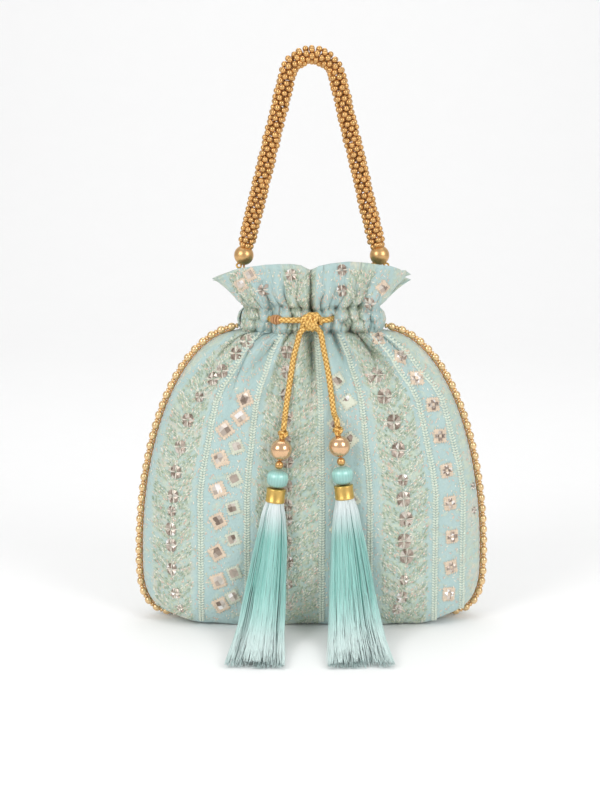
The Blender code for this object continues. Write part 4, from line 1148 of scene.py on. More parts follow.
def make_panel(name, node, folds, creases, rim, rim_drop, facing):
    """One panel as a closed sheet of cloth, and its outer skin to sew on."""
    columns = side_columns(FRONT_COLUMNS if facing > 0 else BACK_COLUMNS)
    (outer, inner), x, z0 = panel_shape(folds, creases, rim, rim_drop, facing, columns)
    rows, wide = x.shape
    step = np.linalg.norm(np.diff(outer, axis=0), axis=2)
    along = np.concatenate((np.zeros((1, wide)), np.cumsum(step, axis=0)))
    across = x * facing / stripe_share(z0)
    flat = np.stack((across / CLOTH_WIDTH + 0.5, along / CLOTH_LENGTH), -1).reshape(-1, 2)
    verts = np.concatenate((outer.reshape(-1, 3), inner.reshape(-1, 3)))
    front = grid_faces(rows, wide)
    shift = rows * wide
    back = [(a + shift, d + shift, c + shift, b + shift) for a, b, c, d in front]
    faces = front + back
    # The cloth's cut edges: bottom and rim, then both sides
    for j in range(wide - 1):
        faces.append((j + 1, j, j + shift, j + 1 + shift))
        k = (rows - 1) * wide + j
        faces.append((k, k + 1, k + 1 + shift, k + shift))
    for i in range(rows - 1):
        for j, flip in ((0, False), (wide - 1, True)):
            a, b = i * wide + j, (i + 1) * wide + j
            face = (a, b, b + shift, a + shift)
            faces.append(tuple(reversed(face)) if flip else face)
    if facing < 0:
        faces = [tuple(reversed(f)) for f in faces]
    mesh = mesh_of(name, verts, faces, None, np.concatenate((flat, flat)))
    made = stand_in(link(name, mesh, paints["cloth"], "bag"), node, "embroidered_fabric")
    return made, Skin(BVHTree.FromPolygons([tuple(v) for v in outer.reshape(-1, 3)], front), facing)


class Skin:
    """A panel's outer side, to sew things on."""

    def __init__(self, tree, facing):
        self.tree = tree
        self.facing = facing

    def first_hit(self, start, direction):
        """Place and outward normal where a ray meets the cloth, or None."""
        place, normal, _, _ = self.tree.ray_cast(start, direction)
        if place is None:
            return None
        return place, -normal if normal.y * self.facing > 0 else normal

    def seen(self, px, py):
        return self.first_hit(Vector(CAMERA_PLACE), sight(px, py))

    def at(self, x, z):
        """Place and outward normal, from x as seen from that side of the bag, and z."""
        return self.first_hit(Vector((x * self.facing, -0.2 * self.facing, z)), Vector((0, self.facing, 0)))

    def axes(self, normal, turn):
        right = Vector((self.facing, 0, 0))
        right = (right - normal * right.dot(normal)).normalized()
        up = normal.cross(right)
        c, s = math.cos(turn), math.sin(turn)
        return right * c + up * s, up * c - right * s

    def lay(self, spot, places, turn=0.0):
        """Puts (right, up, height) points on the cloth round a spot."""
        centre, normal = spot
        right, up = self.axes(normal, turn)
        laid = []
        for a, b, h in places:
            p = centre + right * a + up * b
            hit, _, _, _ = self.tree.ray_cast(p + normal * 0.004, -normal, 0.009)
            laid.append((hit if hit is not None else p) + normal * h)
        return laid


class Batch:
    """Many small sewn pieces gathered into one mesh."""

    def __init__(self):
        self.verts, self.faces, self.tones = [], [], []

    def add(self, verts, faces, tone):
        start = len(self.verts)
        self.verts.extend(tuple(v) for v in verts)
        self.faces.extend(tuple(i + start for i in f) for f in faces)
        self.tones.extend([tone] * len(verts))

    def finish(self, name, paint, body, slot, smooth_shading=True):
        mesh = mesh_of(name, self.verts, self.faces, np.array(self.tones))
        if not smooth_shading:
            mesh.shade_flat()
        made = link(name, mesh, paint, body)
        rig.slot(made, slot)
        return made


LONGEST_STITCH = 0.008
THREAD_LIFT = 0.00012


def stitch(batch, skin, start, end, width, height, tone):
    """One padded stitch between two (x, z) places on the panel."""
    first, last = skin.at(*start), skin.at(*end)
    middle = skin.at((start[0] + end[0]) / 2, (start[1] + end[1]) / 2)
    if first is None or last is None or middle is None or (last[0] - first[0]).length > LONGEST_STITCH:
        return
    centre, normal = middle
    along = (last[0] - first[0]).normalized()
    side = normal.cross(along) * (width / 2)
    low = normal * THREAD_LIFT
    points = [first[0] + low, last[0] + low, centre + side + low, centre - side + low, centre + normal * height]
    batch.add(points, ((2, 0, 4), (1, 2, 4), (3, 1, 4), (0, 3, 4)), tone)


def lit(tone, rng, spread=0.06):
    light = rng.uniform(1 - spread, 1 + spread)
    return tuple(min(c * light, 1) for c in tone)


# Leaf thread colours; the second and third, the darker ones, are partly the threads' own green and partly painted
# shade.
LEAF_AND_SHADE_TONES = [srgb(*c) for c in (
    (222, 226, 206), (178, 194, 164), (150, 172, 146), (234, 234, 220), (204, 212, 186))]
FLECK_TONES = [srgb(*c) for c in ((232, 206, 184), (220, 188, 172), (238, 232, 216), (200, 202, 174))]
COUCHING_TONE = srgb(236, 228, 214)
LINK_TONE = srgb(214, 212, 196)


def chain_stitch(batch, skin, across, rng, start=0.003, end=0.158):
    """A rope line: two rows of slanting stitches that meet in the middle."""
    z = start
    while z < end:
        g = float(stripe_share(z))
        x = across * g
        wide = 0.0019 * (0.62 + 0.38 * g)
        tone = lit(srgb(218, 230, 214), rng)
        stitch(batch, skin, (x - wide, z + 0.0015), (x + 0.0003, z), 0.0013, 0.0014, tone)
        stitch(batch, skin, (x + wide, z + 0.0015), (x - 0.0003, z), 0.0013, 0.0014, lit(tone, rng))
        z += 0.0014


def leaf_band(batch, skin, middle, half, rng, start=0.002, end=0.192):
    """Slanting leaves of satin stitch on both sides of a middle line, close together."""
    z = start
    while z < end:
        g = float(stripe_share(z))
        for side in (-1, 1):
            out = 0.0008
            while out < half:
                slant = out / half
                leaf = (z / 0.0098 - side * 0.31 - 0.85 * slant) % 1.0
                inside = leaf < 0.66
                if rng.uniform() < (0.97 if inside else 0.12):
                    lean = math.radians(rng.normal(47, 9) if inside else rng.uniform(15, 85))
                    reach = rng.uniform(0.0014, 0.0025)
                    x = (middle + side * (out + rng.uniform(-0.0006, 0.0006))) * g
                    h = z + rng.uniform(-0.0005, 0.0005)
                    dx, dz = side * math.cos(lean) * reach / 2 * g, math.sin(lean) * reach / 2
                    if rng.uniform() < 0.10:
                        tone = FLECK_TONES[int(rng.integers(0, len(FLECK_TONES)))]
                    else:
                        # Painted shade: stitches at a leaf's edges and in the gaps between leaves take the two darker
                        # tones.
                        edge = abs(leaf - 0.33) > 0.24
                        tone = LEAF_AND_SHADE_TONES[int(rng.integers(1, 3) if edge else rng.integers(0, len(LEAF_AND_SHADE_TONES)))]
                    height = rng.uniform(0.0005, 0.0011)
                    wide = 0.00085 * (0.7 + 0.3 * g)
                    stitch(batch, skin, (x - dx, h - dz), (x + dx, h + dz), wide, height, lit(tone, rng))
                out += 0.0015
        z += 0.00105


def scattered_flecks(batch, skin, rng, count=4600):
    """Small stray stitches of cream, pink and green on the plain stripes."""
    for _ in range(count):
        z = rng.uniform(0.004, 0.192)
        x = rng.uniform(-0.09, 0.09) * float(stripe_share(z)) * 1.02
        lean = rng.normal(math.pi / 2, 0.7)
        reach = rng.uniform(0.0005, 0.0012)
        dx, dz = math.cos(lean) * reach, math.sin(lean) * reach
        tone = FLECK_TONES[int(rng.integers(0, len(FLECK_TONES)))]
        stitch(batch, skin, (x - dx, z - dz), (x + dx, z + dz), 0.00062, 0.00042, lit(tone, rng))


# Painted reflections for the mirror sequins' facets, from grey-brown to silver.
REFLECTION_TONES = [srgb(*c) for c in (
    (126, 110, 98), (154, 138, 126), (182, 168, 156), (212, 202, 192), (246, 242, 240))]


def painted_reflection_tone(rng, reflection_lightness):
    """Painted reflection on one facet; at 0 it is mostly grey-brown and at 1 mostly silver."""
    index = rng.normal(0.9 + 2.2 * reflection_lightness, 1.0)
    return REFLECTION_TONES[int(min(max(round(index), 0), len(REFLECTION_TONES) - 1))]


def sequin_cross(sequins, threads, skin, spot, radius, turn, rng, reflection_lightness=0.0):
    """A mirror sequin couched by a cross of thread, so that four petals of it show."""
    for quarter in range(4):
        mid = math.radians(45 + 90 * quarter)
        places = [(0.10 * radius * math.cos(mid), 0.10 * radius * math.sin(mid), 0.00045)]
        for i in range(5):
            a = mid + math.radians(-38 + 76 * i / 4)
            reach = radius * (1.0 + 0.16 * math.cos(2 * (a - mid)))
            places.append((0.86 * reach * math.cos(a), reach * math.sin(a), 0.00045))
        places.append((0.55 * radius * math.cos(mid), 0.62 * radius * math.sin(mid), 0.00095))
        laid = skin.lay(spot, places, turn)
        for corners in ((0, 1), (1, 2, 3), (3, 4, 5), (5, 0)):
            facet = [laid[k] for k in corners] + [laid[6]]
            # Each facet takes a painted reflection.
            sequins.add(facet, (tuple(range(len(facet))),), painted_reflection_tone(rng, reflection_lightness))
    x, z = spot[0].x * skin.facing, spot[0].z
    for k in range(2):
        a = turn + math.radians(90 * k + 90)
        dx, dz = math.cos(a) * radius * 1.30, math.sin(a) * radius * 1.30
        for start, end in (((x - dx, z - dz), (x, z)), ((x, z), (x + dx, z + dz))):
            stitch(threads, skin, start, end, 0.00095, 0.00135, COUCHING_TONE)


def patch(patches, sequins, skin, spot, size, turn, kind, rng, tone):
    """A pinked square of stitches with a faceted mirror on it."""
    h = size / 2
    teeth = 5
    outline, inside = [], []
    for k in range(4):
        a = math.radians(90 * k)
        for i in range(2 * teeth):
            along = -h + size * i / (2 * teeth)
            out = h + (0.00062 if i % 2 else -0.00030) + rng.uniform(-0.00015, 0.00015)
            c, s = math.cos(a), math.sin(a)
            outline.append((along * c + out * s, along * s - out * c, 0.00012))
            inside.append((0.86 * (along * c + h * s), 0.86 * (along * s - h * c), 0.00052))
    count = len(outline)
    faces = [(i, (i + 1) % count, count + (i + 1) % count, count + i) for i in range(count)]
    faces.append(tuple(range(count, 2 * count)))
    patches.add(skin.lay(spot, outline + inside, turn), faces, lit(tone, rng, 0.04))
    for k in range(count):
        (a, b, _), (c, d, _) = outline[k], inside[k]
        ray = [(c * 0.72, d * 0.72, 0.0006), (a, b, 0.00025), (c - b * 0.09, d + a * 0.09, 0.00055),
               (c + b * 0.09, d - a * 0.09, 0.00055), (c, d, 0.00085)]
        patches.add(skin.lay(spot, ray, turn), ((0, 2, 4), (2, 1, 4), (1, 3, 4), (3, 0, 4)), lit(tone, rng, 0.10))
    # How light the painted reflections on this patch's mirror facets are.
    reflection_lightness = rng.uniform(0.1, 0.9)
    if kind == "square":
        s = size * rng.uniform(0.30, 0.35)
        ox, oy = rng.uniform(-0.10, 0.10) * size, rng.uniform(0.0, 0.12) * size
        m = s * 1.05
        corners = [(-s, -s), (0, -m), (s, -s), (m, 0), (s, s), (0, m), (-s, s), (-m, 0)]
        places = [(ox + a, oy + b, 0.00060) for a, b in corners]
        places.append((ox + s * rng.uniform(-0.3, 0.3), oy + s * rng.uniform(-0.3, 0.3), 0.00130))
        laid = skin.lay(spot, places, turn)
        for k in range(4):
            ring = [laid[(2 * k - 1) % 8], laid[2 * k], laid[(2 * k + 1) % 8], laid[8]]
            sequins.add(ring, ((0, 1, 2, 3),), painted_reflection_tone(rng, reflection_lightness))
    else:
        s = size * 0.36
        for k in range(4):
            a = math.radians(90 * k + 45)
            c, d = 0.76 * s * math.cos(a), 0.76 * s * math.sin(a)
            q = s * 0.66
            places = [(c - q, d, 0.0006), (c, d - q, 0.0006), (c + q, d, 0.0006), (c, d + q, 0.0006), (c, d, 0.00115)]
            laid = skin.lay(spot, places, turn + math.radians(45))
            for i in range(4):
                sequins.add([laid[i], laid[(i + 1) % 4], laid[4]], ((0, 1, 2),), painted_reflection_tone(rng, reflection_lightness))


# Places of the sewn-on mirrors and patches, in pixels of the photograph
LEFT_CIRCLES = (
    (247, 342), (236, 353.5), (222, 371), (213, 379), (200, 397), (188, 420), (180.5, 447), (176, 472), (173.5, 496),
    (172, 511), (171, 529), (171.4, 545), (172, 569), (175.6, 593), (180.5, 608))
RIGHT_CIRCLES = (
    (376.5, 375), (384, 396), (394, 422), (398, 450), (403, 480), (403.5, 499), (406, 519), (404, 541), (406.6, 556),
    (404, 580), (402, 597), (397, 609))
MIDDLE_CIRCLES = (
    (287, 352), (287, 372), (286, 395), (286, 418), (287, 440), (287.5, 462), (287, 486), (287, 505), (287, 520),
    (288, 541), (288, 562), (288, 584), (288, 605))
PEACH_PATCHES = (
    (245, 399), (240, 417), (225.4, 430), (220.5, 459), (218.4, 490), (218.4, 521), (217, 553), (218.4, 581),
    (221, 605))
CREAM_PATCHES = ((236.6, 447), (235, 479), (233, 508), (233, 539), (234.5, 573), (233, 597))
MIDDLE_PATCHES = (
    (338, 380), (347, 402), (336, 424), (350, 440), (343, 470), (352, 500), (338, 530), (352, 556), (340, 584),
    (352, 606))
RIGHT_PATCHES = (
    (378, 338), (400, 357), (416.7, 378), (433, 404.5), (440, 436), (446.6, 470.5), (450, 503), (452, 536.5),
    (451, 567), (448.7, 594))
EDGE_SEQUINS = (
    (429.5, 355), (441.6, 373), (447, 385), (455, 401), (462, 418), (467, 440), (471, 462), (473, 486), (474, 510))
RUFFLE_PATCHES = ((250, 275), (241, 285), (382, 287))
RUFFLE_CIRCLES = ((291, 275), (341.5, 270), (342, 291), (398, 274), (370, 304), (262, 290))
RIM_MARGIN = 0.0034


def embroider(skin, name, rng):
    """Everything sewn on one panel."""
    threads, sequins, patches = Batch(), Batch(), Batch()
    for middle, half in ((-0.0746, 0.0110), (-0.0128, 0.0160), (0.0498, 0.0122)):
        leaf_band(threads, skin, middle, half, rng)
    for across in ROPE_LINES:
        chain_stitch(threads, skin, across, rng)
    scattered_flecks(threads, skin, rng)

    def spots_of(pixels):
        """Places on this panel, off its rim; the back has the front's motifs, in the same stripes."""
        for px, py in pixels:
            spot = front_skin.seen(px, py)
            if spot is not None and skin.facing < 0:
                spot = skin.at(spot[0].x, spot[0].z)
            if spot is not None and skin.at(spot[0].x * skin.facing, spot[0].z + RIM_MARGIN) is not None:
                yield spot

    for row, size in ((LEFT_CIRCLES, 0.0034), (RIGHT_CIRCLES, 0.0039), (MIDDLE_CIRCLES, 0.0031)):
        spots = list(spots_of(row))
        for i, spot in enumerate(spots):
            shrink = 0.74 if i % 5 == 4 else 1.0
            # Sequins low on the bag are smaller, and their painted reflections lighter.
            low = float(smooth((0.045 - spot[0].z) / 0.035))
            radius = size * shrink * (1 - 0.25 * low)
            sequin_cross(sequins, threads, skin, spot, radius, rng.uniform(-0.12, 0.12), rng, 0.28 + 0.6 * low)
        for here, there in zip(spots, spots[1:]):
            a, b = here[0], there[0]
            for k in range(4):
                p, q = a.lerp(b, k / 4), a.lerp(b, (k + 1) / 4)
                start, end = (p.x * skin.facing, p.z), (q.x * skin.facing, q.z)
                stitch(threads, skin, start, end, 0.0008, 0.0007, LINK_TONE)
    peach, cream = srgb(226, 203, 178), srgb(212, 216, 196)
    for row, size, kind, lean, tone in (
            (PEACH_PATCHES, 0.0076, "square", 0.52, peach), (CREAM_PATCHES, 0.0068, "square", 0.40, cream),
            (MIDDLE_PATCHES, 0.0068, "square", 0.70, cream), (RIGHT_PATCHES, 0.0070, "petals", 0.10, peach)):
        for spot in spots_of(row):
            patch(patches, sequins, skin, spot, size, lean + rng.uniform(-0.16, 0.16), kind, rng, tone)
    for spot in spots_of(EDGE_SEQUINS):
        sequin_cross(sequins, threads, skin, spot, 0.0018, 0.6, rng, 0.5)
    for spot in spots_of(RUFFLE_PATCHES):
        patch(patches, sequins, skin, spot, 0.0060, 0.5, "square", rng, peach)
    for spot in spots_of(RUFFLE_CIRCLES):
        sequin_cross(sequins, threads, skin, spot, 0.0028, 0.1, rng, 0.3)
    return [threads.finish(name + "_raised_stitches", paints["thread"], "bag", "embroidered_fabric"),
            patches.finish(name + "_pinked_patches", paints["patch"], "bag", "embroidered_fabric"),
            sequins.finish(name + "_mirror_sequins", paints["sequin"], "bag", "embroidered_fabric", False)]


def seam_outline():
    """Points of the seam in the XZ plane, from the left neck under the foot to the right neck."""
    steps = 40
    right = []
    for i in range(steps):
        turn = math.radians(90) * i / steps
        right.append((blend(FOOT_HALF_WIDTH, BELLY_HALF_WIDTH, math.sin(turn) ** SEAM_POWER),
                      blend(seam_floor, SEAM_BELLY_HEIGHT, 1 - math.cos(turn) ** SEAM_POWER)))
    for i in range(steps + 1):
        turn = math.radians(90) * i / steps
        right.append((blend(NECK_HALF_WIDTH, BELLY_HALF_WIDTH, math.cos(turn)),
                      blend(SEAM_BELLY_HEIGHT, NECK_HEIGHT, math.sin(turn))))
    left = [(-x, z) for x, z in reversed(right)]
    return [Vector((x, 0.0, z)) for x, z in left + right]


def beside(line, distance):
    """A line in the XZ plane, moved sideways; it loses its two end points."""
    moved = []
    for before, here, after in zip(line, line[1:], line[2:]):
        along = (after - before).normalized()
        moved.append(here + Vector((along.z, 0.0, -along.x)) * distance)
    return moved


def ball(sides, rings):
    """A unit sphere's points and faces."""
    verts = [(0, 0, 1)]
    for i in range(1, rings):
        a = math.pi * i / rings
        for j in range(sides):
            b = 2 * math.pi * j / sides
            verts.append((math.sin(a) * math.cos(b), math.sin(a) * math.sin(b), math.cos(a)))
    verts.append((0, 0, -1))
    faces = []
    for j in range(sides):
        k = (j + 1) % sides
        faces.append((0, 1 + j, 1 + k))
        for i in range(rings - 2):
            a = 1 + i * sides
            faces.append((a + j, a + sides + j, a + sides + k, a + k))
        last = 1 + (rings - 2) * sides
        faces.append((last + j, len(verts) - 1, last + k))
    return np.array(verts), faces


WHITE = (1, 1, 1)
SPACER_SIZE = (0.00145, 0.00145, 0.00085)
GIMP_INSET = 0.0017
GIMP_HALF_WIDTH = 0.00042
GIMP_SIDES = 6


def make_trim():
    """The string of beads along the seam, and the thread that sews it on."""
    verts, faces = ball(14, 9)
    line = [Vector((p.x, 0.0, max(p.z, trim_offset))) for p in beside(seam_outline(), trim_offset)]
    beads = round(route_length(line) / TRIM_PITCH)
    batch, gimp = Batch(), Batch()
    for index, (place, along) in enumerate(evenly(line, 2 * beads)):
        turn = np.array(Vector((0, 0, 1)).rotation_difference(along).to_matrix())
        large = (TRIM_BEAD_RADIUS, TRIM_BEAD_RADIUS, TRIM_BEAD_RADIUS * 1.16)
        size = np.array(large if index % 2 else SPACER_SIZE)
        batch.add((verts * size) @ turn.T + np.array(place), faces, WHITE)
    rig.replaces(batch.finish("seam_trim_beads", paints["trim"], "bag", "trim_beads"), "seam_bead_trim")
    tube = []
    for index, (place, along) in enumerate(evenly(beside(line, -GIMP_INSET), 3 * beads)):
        side = Vector((-along.z, 0.0, along.x))
        wide = GIMP_HALF_WIDTH * (1 + 0.30 * (index % 2))
        for i in range(GIMP_SIDES):
            a = 2 * math.pi * i / GIMP_SIDES
            tube.append(place + side * math.cos(a) * wide + Vector((0, 1, 0)) * math.sin(a) * wide * 1.5)
    gimp.add(tube, grid_faces(len(tube) // GIMP_SIDES, GIMP_SIDES, True), WHITE)
    gimp.finish("seam_trim_thread", paints["gimp"], "bag", "trim_beads")


def rope_line():
    """The handle's middle line: two straight legs and an arch between them."""
    start = Vector((-HANDLE_BEAD_X, 0.0, handle_bead_z))
    up = Vector((math.sin(LEG_TILT), 0.0, math.cos(LEG_TILT)))
    foot = start + up * (HANDLE_BEAD_RADIUS + GAP)
    leg = (HANDLE_BEAD_X - ARCH_RADIUS * math.cos(LEG_TILT)) / math.sin(LEG_TILT)
    top_of_leg = start + up * leg
    centre = Vector((0.0, 0.0, top_of_leg.z - ARCH_RADIUS * math.sin(LEG_TILT)))
    points = [foot]
    sweep = math.pi - 2 * LEG_TILT
    for i in range(41):
        angle = math.pi - LEG_TILT - sweep * i / 40
        points.append(centre + Vector((math.cos(angle), 0.0, math.sin(angle))) * ARCH_RADIUS)
    points.append(Vector((-foot.x, 0.0, foot.z)))
    return points


ROPE_BEAD_RADIUS = 0.00162
ROPE_BEADS_ROUND = 6


def make_handle():
    """Rings of small beads, each ring turned by half a bead, and the two large beads at the ends."""
    rng = np.random.default_rng(11)
    verts, faces = ball(12, 8)
    line = rope_line()
    count = round(route_length(line) / ROPE_PITCH)
    batch = Batch()
    for index, (place, along) in enumerate(evenly(line, count)):
        side = Vector((-along.z, 0.0, along.x))
        ring = (ROPE_RADIUS - ROPE_BEAD_RADIUS * 0.97) * (0.72 if index in (0, count) else 1.0)
        for i in range(ROPE_BEADS_ROUND):
            angle = 2 * math.pi * (i + 0.5 * (index % 2)) / ROPE_BEADS_ROUND + 0.26
            centre = place + (side * math.cos(angle) + Vector((0, 1, 0)) * math.sin(angle)) * ring
            wobble = Vector(rng.normal(0, 0.00016, 3))
            size = ROPE_BEAD_RADIUS * rng.uniform(0.94, 1.03)
            batch.add(verts * size + np.array(centre + wobble), faces, WHITE)
    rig.replaces(batch.finish("woven_bead_rope", paints["gold_bead"], "handle", "gold_beads"), "handle_bead_rope")
    profile = ball_profile(HANDLE_BEAD_RADIUS, 36)
    for side, sign in (("left", -1), ("right", 1)):
        place = Matrix.Translation((sign * HANDLE_BEAD_X, 0.0, handle_bead_z))
        big = turned(side + "_large_bead", profile, 48, place, paints["big_bead"], "handle")
        stand_in(big, side + "_handle_bead", "gold_beads")


# How far the drawstring's run keeps inside the casing's lumps
RUN_INSET_SIDE = 0.0016
RUN_INSET_DEPTH = 0.0028


def make_drawstring():
    """The drawstring's run, its wrap at the left eyelet, and its knot."""
    half = NECK_HALF_WIDTH + CASING_PUFF_WIDTH - WALL - GAP - CORD_RADIUS - RUN_INSET_SIDE
    depth = crease_inside(casing_depth, PLEAT_AT_CASING) - GAP - CORD_RADIUS - RUN_INSET_DEPTH
    z = casing_middle
    r = CORD_RADIUS

    def channel(side, *shares):
        """Places inside the casing, at shares of its half width."""
        bulges = [max(0.0, 1 - abs(share) ** NECK_SQUARENESS) ** BULGE_ROOT for share in shares]
        return [(half * share, side * bulge * depth, z) for share, bulge in zip(shares, bulges)]

    front = knot_centre.y + KNOT_DROP / 2
    wall_middle = -casing_depth + WALL / 2
    left_face = knot_centre.x - KNOT_HALF[0] - GAP
    right_face = knot_centre.x + KNOT_HALF[0] + GAP
    route = [(left_face + 0.003, front, z), (left_face, front, z), (left_face - KNOT_HALF[0], front, z),
             (LEFT_EYELET_X + EYELET_HEIGHT, front + r, z), (LEFT_EYELET_X, wall_middle, z),
             *channel(-1, -0.78, -0.92), (-half, 0.0, z),
             *channel(1, -0.92, -0.7, -0.35, 0.0, 0.35, 0.7, 0.92), (half, 0.0, z), *channel(-1, 0.92, 0.72, 0.5),
             (RIGHT_EYELET_X + r, wall_middle + r, z), (RIGHT_EYELET_X - r * 0.25, wall_middle - r * 1.5, z),
             (right_face + r * 1.4, front + r * 0.6, z), (right_face, front + r * 0.3, z),
             (right_face - 0.002, front + r * 0.2, z)]
    stand_in(braid("braided_drawstring", route, CORD_RADIUS, "bag", 0.0003), "drawstring", "gold_cord")
    exit_wrap(smooth_route(route[:5], 0.0003))
    stand_in(drawn_knot(), "drawstring_knot", "gold_cord")


# The drawn knot's turns: middle, lean, height, depth and drop of each ring round the run
KNOT_RINGS = ((0.0018, 0.0011, 1.0, 1.0, 0.0), (-0.0020, -0.0008, 0.80, 0.86, 0.0004))
# Its arch, the cord that crosses low in front and the tongue over the middle: points and radius
KNOT_ARCHES = (
    (((-KNOT_HALF[0] + 0.0002, -0.0008, 0.0004), (-0.0032, -0.0016, 0.0022), (-0.0002, -0.0016, 0.0038),
      (0.0026, -0.0012, 0.0034), (0.0046, 0.0002, 0.0016), (0.0048, 0.0016, -0.0012)), 0.00155),
    (((-0.0046, 0.0006, -0.0042), (-0.0040, -0.0010, -0.0010), (-0.0010, -0.0022, 0.0002),
      (0.0022, -0.0022, -0.0014), (0.0040, -0.0006, -0.0040)), 0.00145),
    (((0.0002, 0.0006, 0.0040), (-0.0003, -0.0020, 0.0026), (-0.0004, -0.0026, 0.0008),
      (-0.0002, -0.0020, -0.0016), (0.0002, -0.0004, -0.0036)), 0.0015),
)
KNOT_CORD = 0.00155


def drawn_knot():
    """The knot: two turns of the cord round the run, and arches over them that go in behind."""
    _, half_y, half_z = KNOT_HALF
    paths = []
    for middle, lean, tall, deep, drop in KNOT_RINGS:
        ring = []
        for i in range(25):
            a = 2 * math.pi * i / 24
            ring.append((middle + lean * math.cos(a), -math.sin(a) * (half_y - KNOT_CORD) * deep,
                         math.cos(a) * (half_z - KNOT_CORD) * tall - drop))
        paths.append((ring, KNOT_CORD))
    verts, faces, tones = [], [], []
    for points, radius in (*paths, *KNOT_ARCHES):
        more, skin, tone = braided(points, radius, 0.0003, 22)
        start = len(verts)
        verts.extend(more.tolist())
        faces.extend(tuple(i + start for i in f) for f in skin)
        tones.extend(tone.tolist())
    mesh = mesh_of("drawn_knot", verts, faces, np.array(tones))
    mesh.transform(Matrix.Translation(knot_centre))
    return link("drawn_knot", mesh, paints["cord"], "bag")


WRAP_START = 0.0016
WRAP_REACHES = (0.0017, 0.0020, 0.0021, 0.0018)


def exit_wrap(line):
    """Turns of orange thread round the cord where it leaves the casing on the left."""
    batch = Batch()
    last = max(i for i, p in enumerate(line) if p.x > LEFT_EYELET_X + WRAP_START)
    for i, reach in enumerate(WRAP_REACHES):
        before, centre, after = line[last - 4 * i - 1:last - 4 * i + 2]
        along = (after - before).normalized()
        side = along.cross(Vector((0, 0, 1))).normalized()
        up = side.cross(along)
        turns = [2 * math.pi * k / 16 for k in range(17)]
        ring = [centre + (side * math.sin(a) + up * math.cos(a)) * reach for a in turns]
        verts, faces, _ = braided(ring, 0.00062, 0.0004, 10)
        batch.add(verts, faces, WHITE)
    batch.finish("exit_thread_wrap", paints["wrap"], "bag", "gold_cord")


def thread_loops():
    """Small loops of gold thread that stick out below the large handle beads."""
    batch = Batch()
    for out in (-HANDLE_BEAD_X - 0.0026, HANDLE_BEAD_X - 0.0034, HANDLE_BEAD_X + 0.0036):
        centre = Vector((out, -0.0006, handle_bead_z - HANDLE_BEAD_RADIUS * 1.04))
        ring = []
        for i in range(19):
            a = 2 * math.pi * i / 18
            ring.append(centre + Vector((0.0012 * math.cos(a), 0.0006 * math.sin(a), 0.0011 * math.sin(a))))
        verts, faces, _ = braided(ring, 0.00052, 0.0003, 10)
        batch.add(verts, faces, (0.75, 0.75, 0.75))
    batch.finish("handle_thread_loops", paints["cord"], "handle", "gold_cord")


# The lining's levels: height, half width and half depth
LINING_LEVELS = (
    (0.0075, 0.052, 0.010), (0.012, 0.066, 0.0135), (0.022, 0.080, 0.0185), (0.036, 0.0878, 0.0215),
    (0.070, 0.0835, 0.0205), (0.100, 0.0745, 0.0165), (0.125, 0.0600, 0.0115), (0.145, 0.0440, 0.0072),
    (0.158, 0.0325, 0.0050), (0.1745, 0.0325, 0.0050), (0.1805, 0.0375, 0.0086), (0.1862, 0.0405, 0.0088))
LINING_SIDES = 160
LINING_WALL = 0.0008


def make_lining():
    """Satin inner pouch, hung inside the panels and open at the mouth."""
    sides = LINING_SIDES
    verts = []
    for inset in (0.0, LINING_WALL):
        for z, half, depth in LINING_LEVELS:
            for i in range(sides):
                a = 2 * math.pi * i / sides
                u = -math.cos(a)
                bulge = max(0.0, 1 - abs(u) ** 2.9) ** BULGE_ROOT * (1 if math.sin(a) > 0 else -1)
                ripple = 0.0005 * math.sin(9 * a + 1.0) * float(smooth((z - 0.10) / 0.06))
                drop = 0.004 * abs(u) ** 3 if z > 0.178 else 0.0
                verts.append((u * (half - inset), -bulge * (depth - inset + ripple), z - drop))
    rows = len(LINING_LEVELS)
    faces = grid_faces(rows, sides, True)
    shift = rows * sides
    faces += [(a + shift, d + shift, c + shift, b + shift) for a, b, c, d in faces]
    top = (rows - 1) * sides
    for j in range(sides):
        k = (j + 1) % sides
        faces.append((top + j, top + k, top + k + shift, top + j + shift))
    faces.append(tuple(range(sides - 1, -1, -1)))
    faces.append(tuple(range(shift, shift + sides)))
    made = link("satin_lining", mesh_of("satin_lining", verts, faces), paints["lining"], "bag")
    return stand_in(made, "lining", "lining_satin")


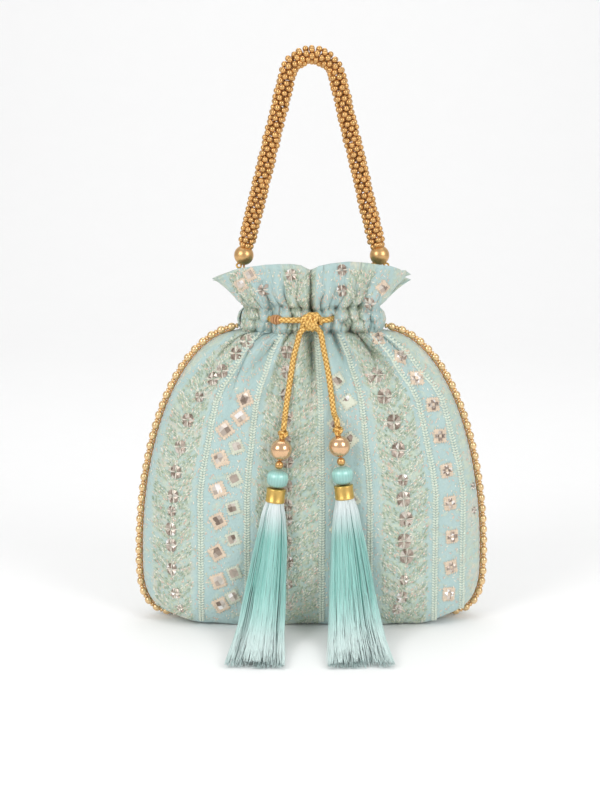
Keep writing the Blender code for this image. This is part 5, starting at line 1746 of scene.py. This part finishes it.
def make_stage():
    """A pale floor that rises into a pale backdrop, a large soft key light and two fills."""
    points, faces = [], []
    profile = [(-3.0, 0.0), (0.9, 0.0)]
    for i in range(1, 13):
        a = math.radians(90) * i / 12
        profile.append((0.9 + 0.8 * math.sin(a), 0.8 * (1 - math.cos(a))))
    profile.append((1.7, 4.0))
    for y, z in profile:
        points += [(-4.0, y, z), (4.0, y, z)]
    for i in range(len(profile) - 1):
        faces.append((2 * i, 2 * i + 1, 2 * i + 3, 2 * i + 2))
    paper = Paint("studio_paper", (0.93, 0.93, 0.93), 0.85)
    grain = paper.noise(paper.object_places(), 40.0, 2.0)
    paper.into(paper.mix(grain, (0.925, 0.925, 0.925), (0.935, 0.935, 0.935)), "Base Color")
    mesh = mesh_of("backdrop", points, faces)
    mesh.materials.append(paper.material)
    floor = bpy.data.objects.new("backdrop", mesh)
    bpy.context.scene.collection.objects.link(floor)
    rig.stage(floor)
    world = bpy.data.worlds.new("studio")
    world.use_nodes = True
    world.node_tree.nodes["Background"].inputs[0].default_value = (1.0, 1.0, 1.0, 1.0)
    world.node_tree.nodes["Background"].inputs[1].default_value = 0.56
    bpy.context.scene.world = world
    for name, place, size, power, aim in (
            ("left_softbox", (-0.68, -0.70, 0.62), 0.50, 4.2, (0, 0, 0.12)),
            ("right_softbox", (0.68, -0.70, 0.60), 0.50, 3.9, (0, 0, 0.12)),
            ("top_softbox", (0.0, 0.05, 1.30), 0.60, 1.2, (0, 0.0, 0.1)),
            ("backdrop_light", (0.0, 0.45, 1.90), 1.50, 13.0, (0, 1.75, 0.9))):
        data = bpy.data.lights.new(name, "AREA")
        data.size = size
        data.energy = power
        lamp = bpy.data.objects.new(name, data)
        lamp.location = place
        lamp.rotation_euler = (Vector(aim) - Vector(place)).to_track_quat("-Z", "Y").to_euler()
        bpy.context.scene.collection.objects.link(lamp)


bpy.context.scene.view_settings.view_transform = "Standard"
make_camera()
make_tassels()
front_panel, front_skin = make_panel("front_cloth", "front_panel", FRONT_FOLDS, FRONT_CREASES, FRONT_RIM, 0.0, 1)
back_panel, back_skin = make_panel("back_cloth", "back_panel", BACK_FOLDS, BACK_CREASES, BACK_RIM, BACK_RIM_DROP, -1)
front_sewn = embroider(front_skin, "front", np.random.default_rng(3))
back_sewn = embroider(back_skin, "back", np.random.default_rng(5))
make_trim()
make_handle()
thread_loops()
make_drawstring()
lining_cloth = make_lining()
make_stage()

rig.sheet(front_panel, flat=(0.200, 0.235), held="gathered", rests_on=["lining"], area=0.0400, with_pieces=front_sewn)
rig.sheet(back_panel, flat=(0.200, 0.230), held="gathered", rests_on=["lining"], area=0.0395, with_pieces=back_sewn)
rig.sheet(lining_cloth, flat=(0.375, 0.185), held="gathered", rests_on=["front_cloth", "back_cloth"])

# The CAD's own loops and tabs stay, in the scene's materials
for node, look in (("left_handle_loop", "gimp"), ("right_handle_loop", "gimp"),
                   ("left_handle_tab", "lining"), ("right_handle_tab", "lining")):
    frame["nodes"][node].data.materials.clear()
    frame["nodes"][node].data.materials.append(paints[look].material)

with open("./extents.json", "w") as written:
    json.dump({"cad": [list(corner) for corner in cad_box], "visual": [list(corner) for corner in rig.bounds()]}, written)
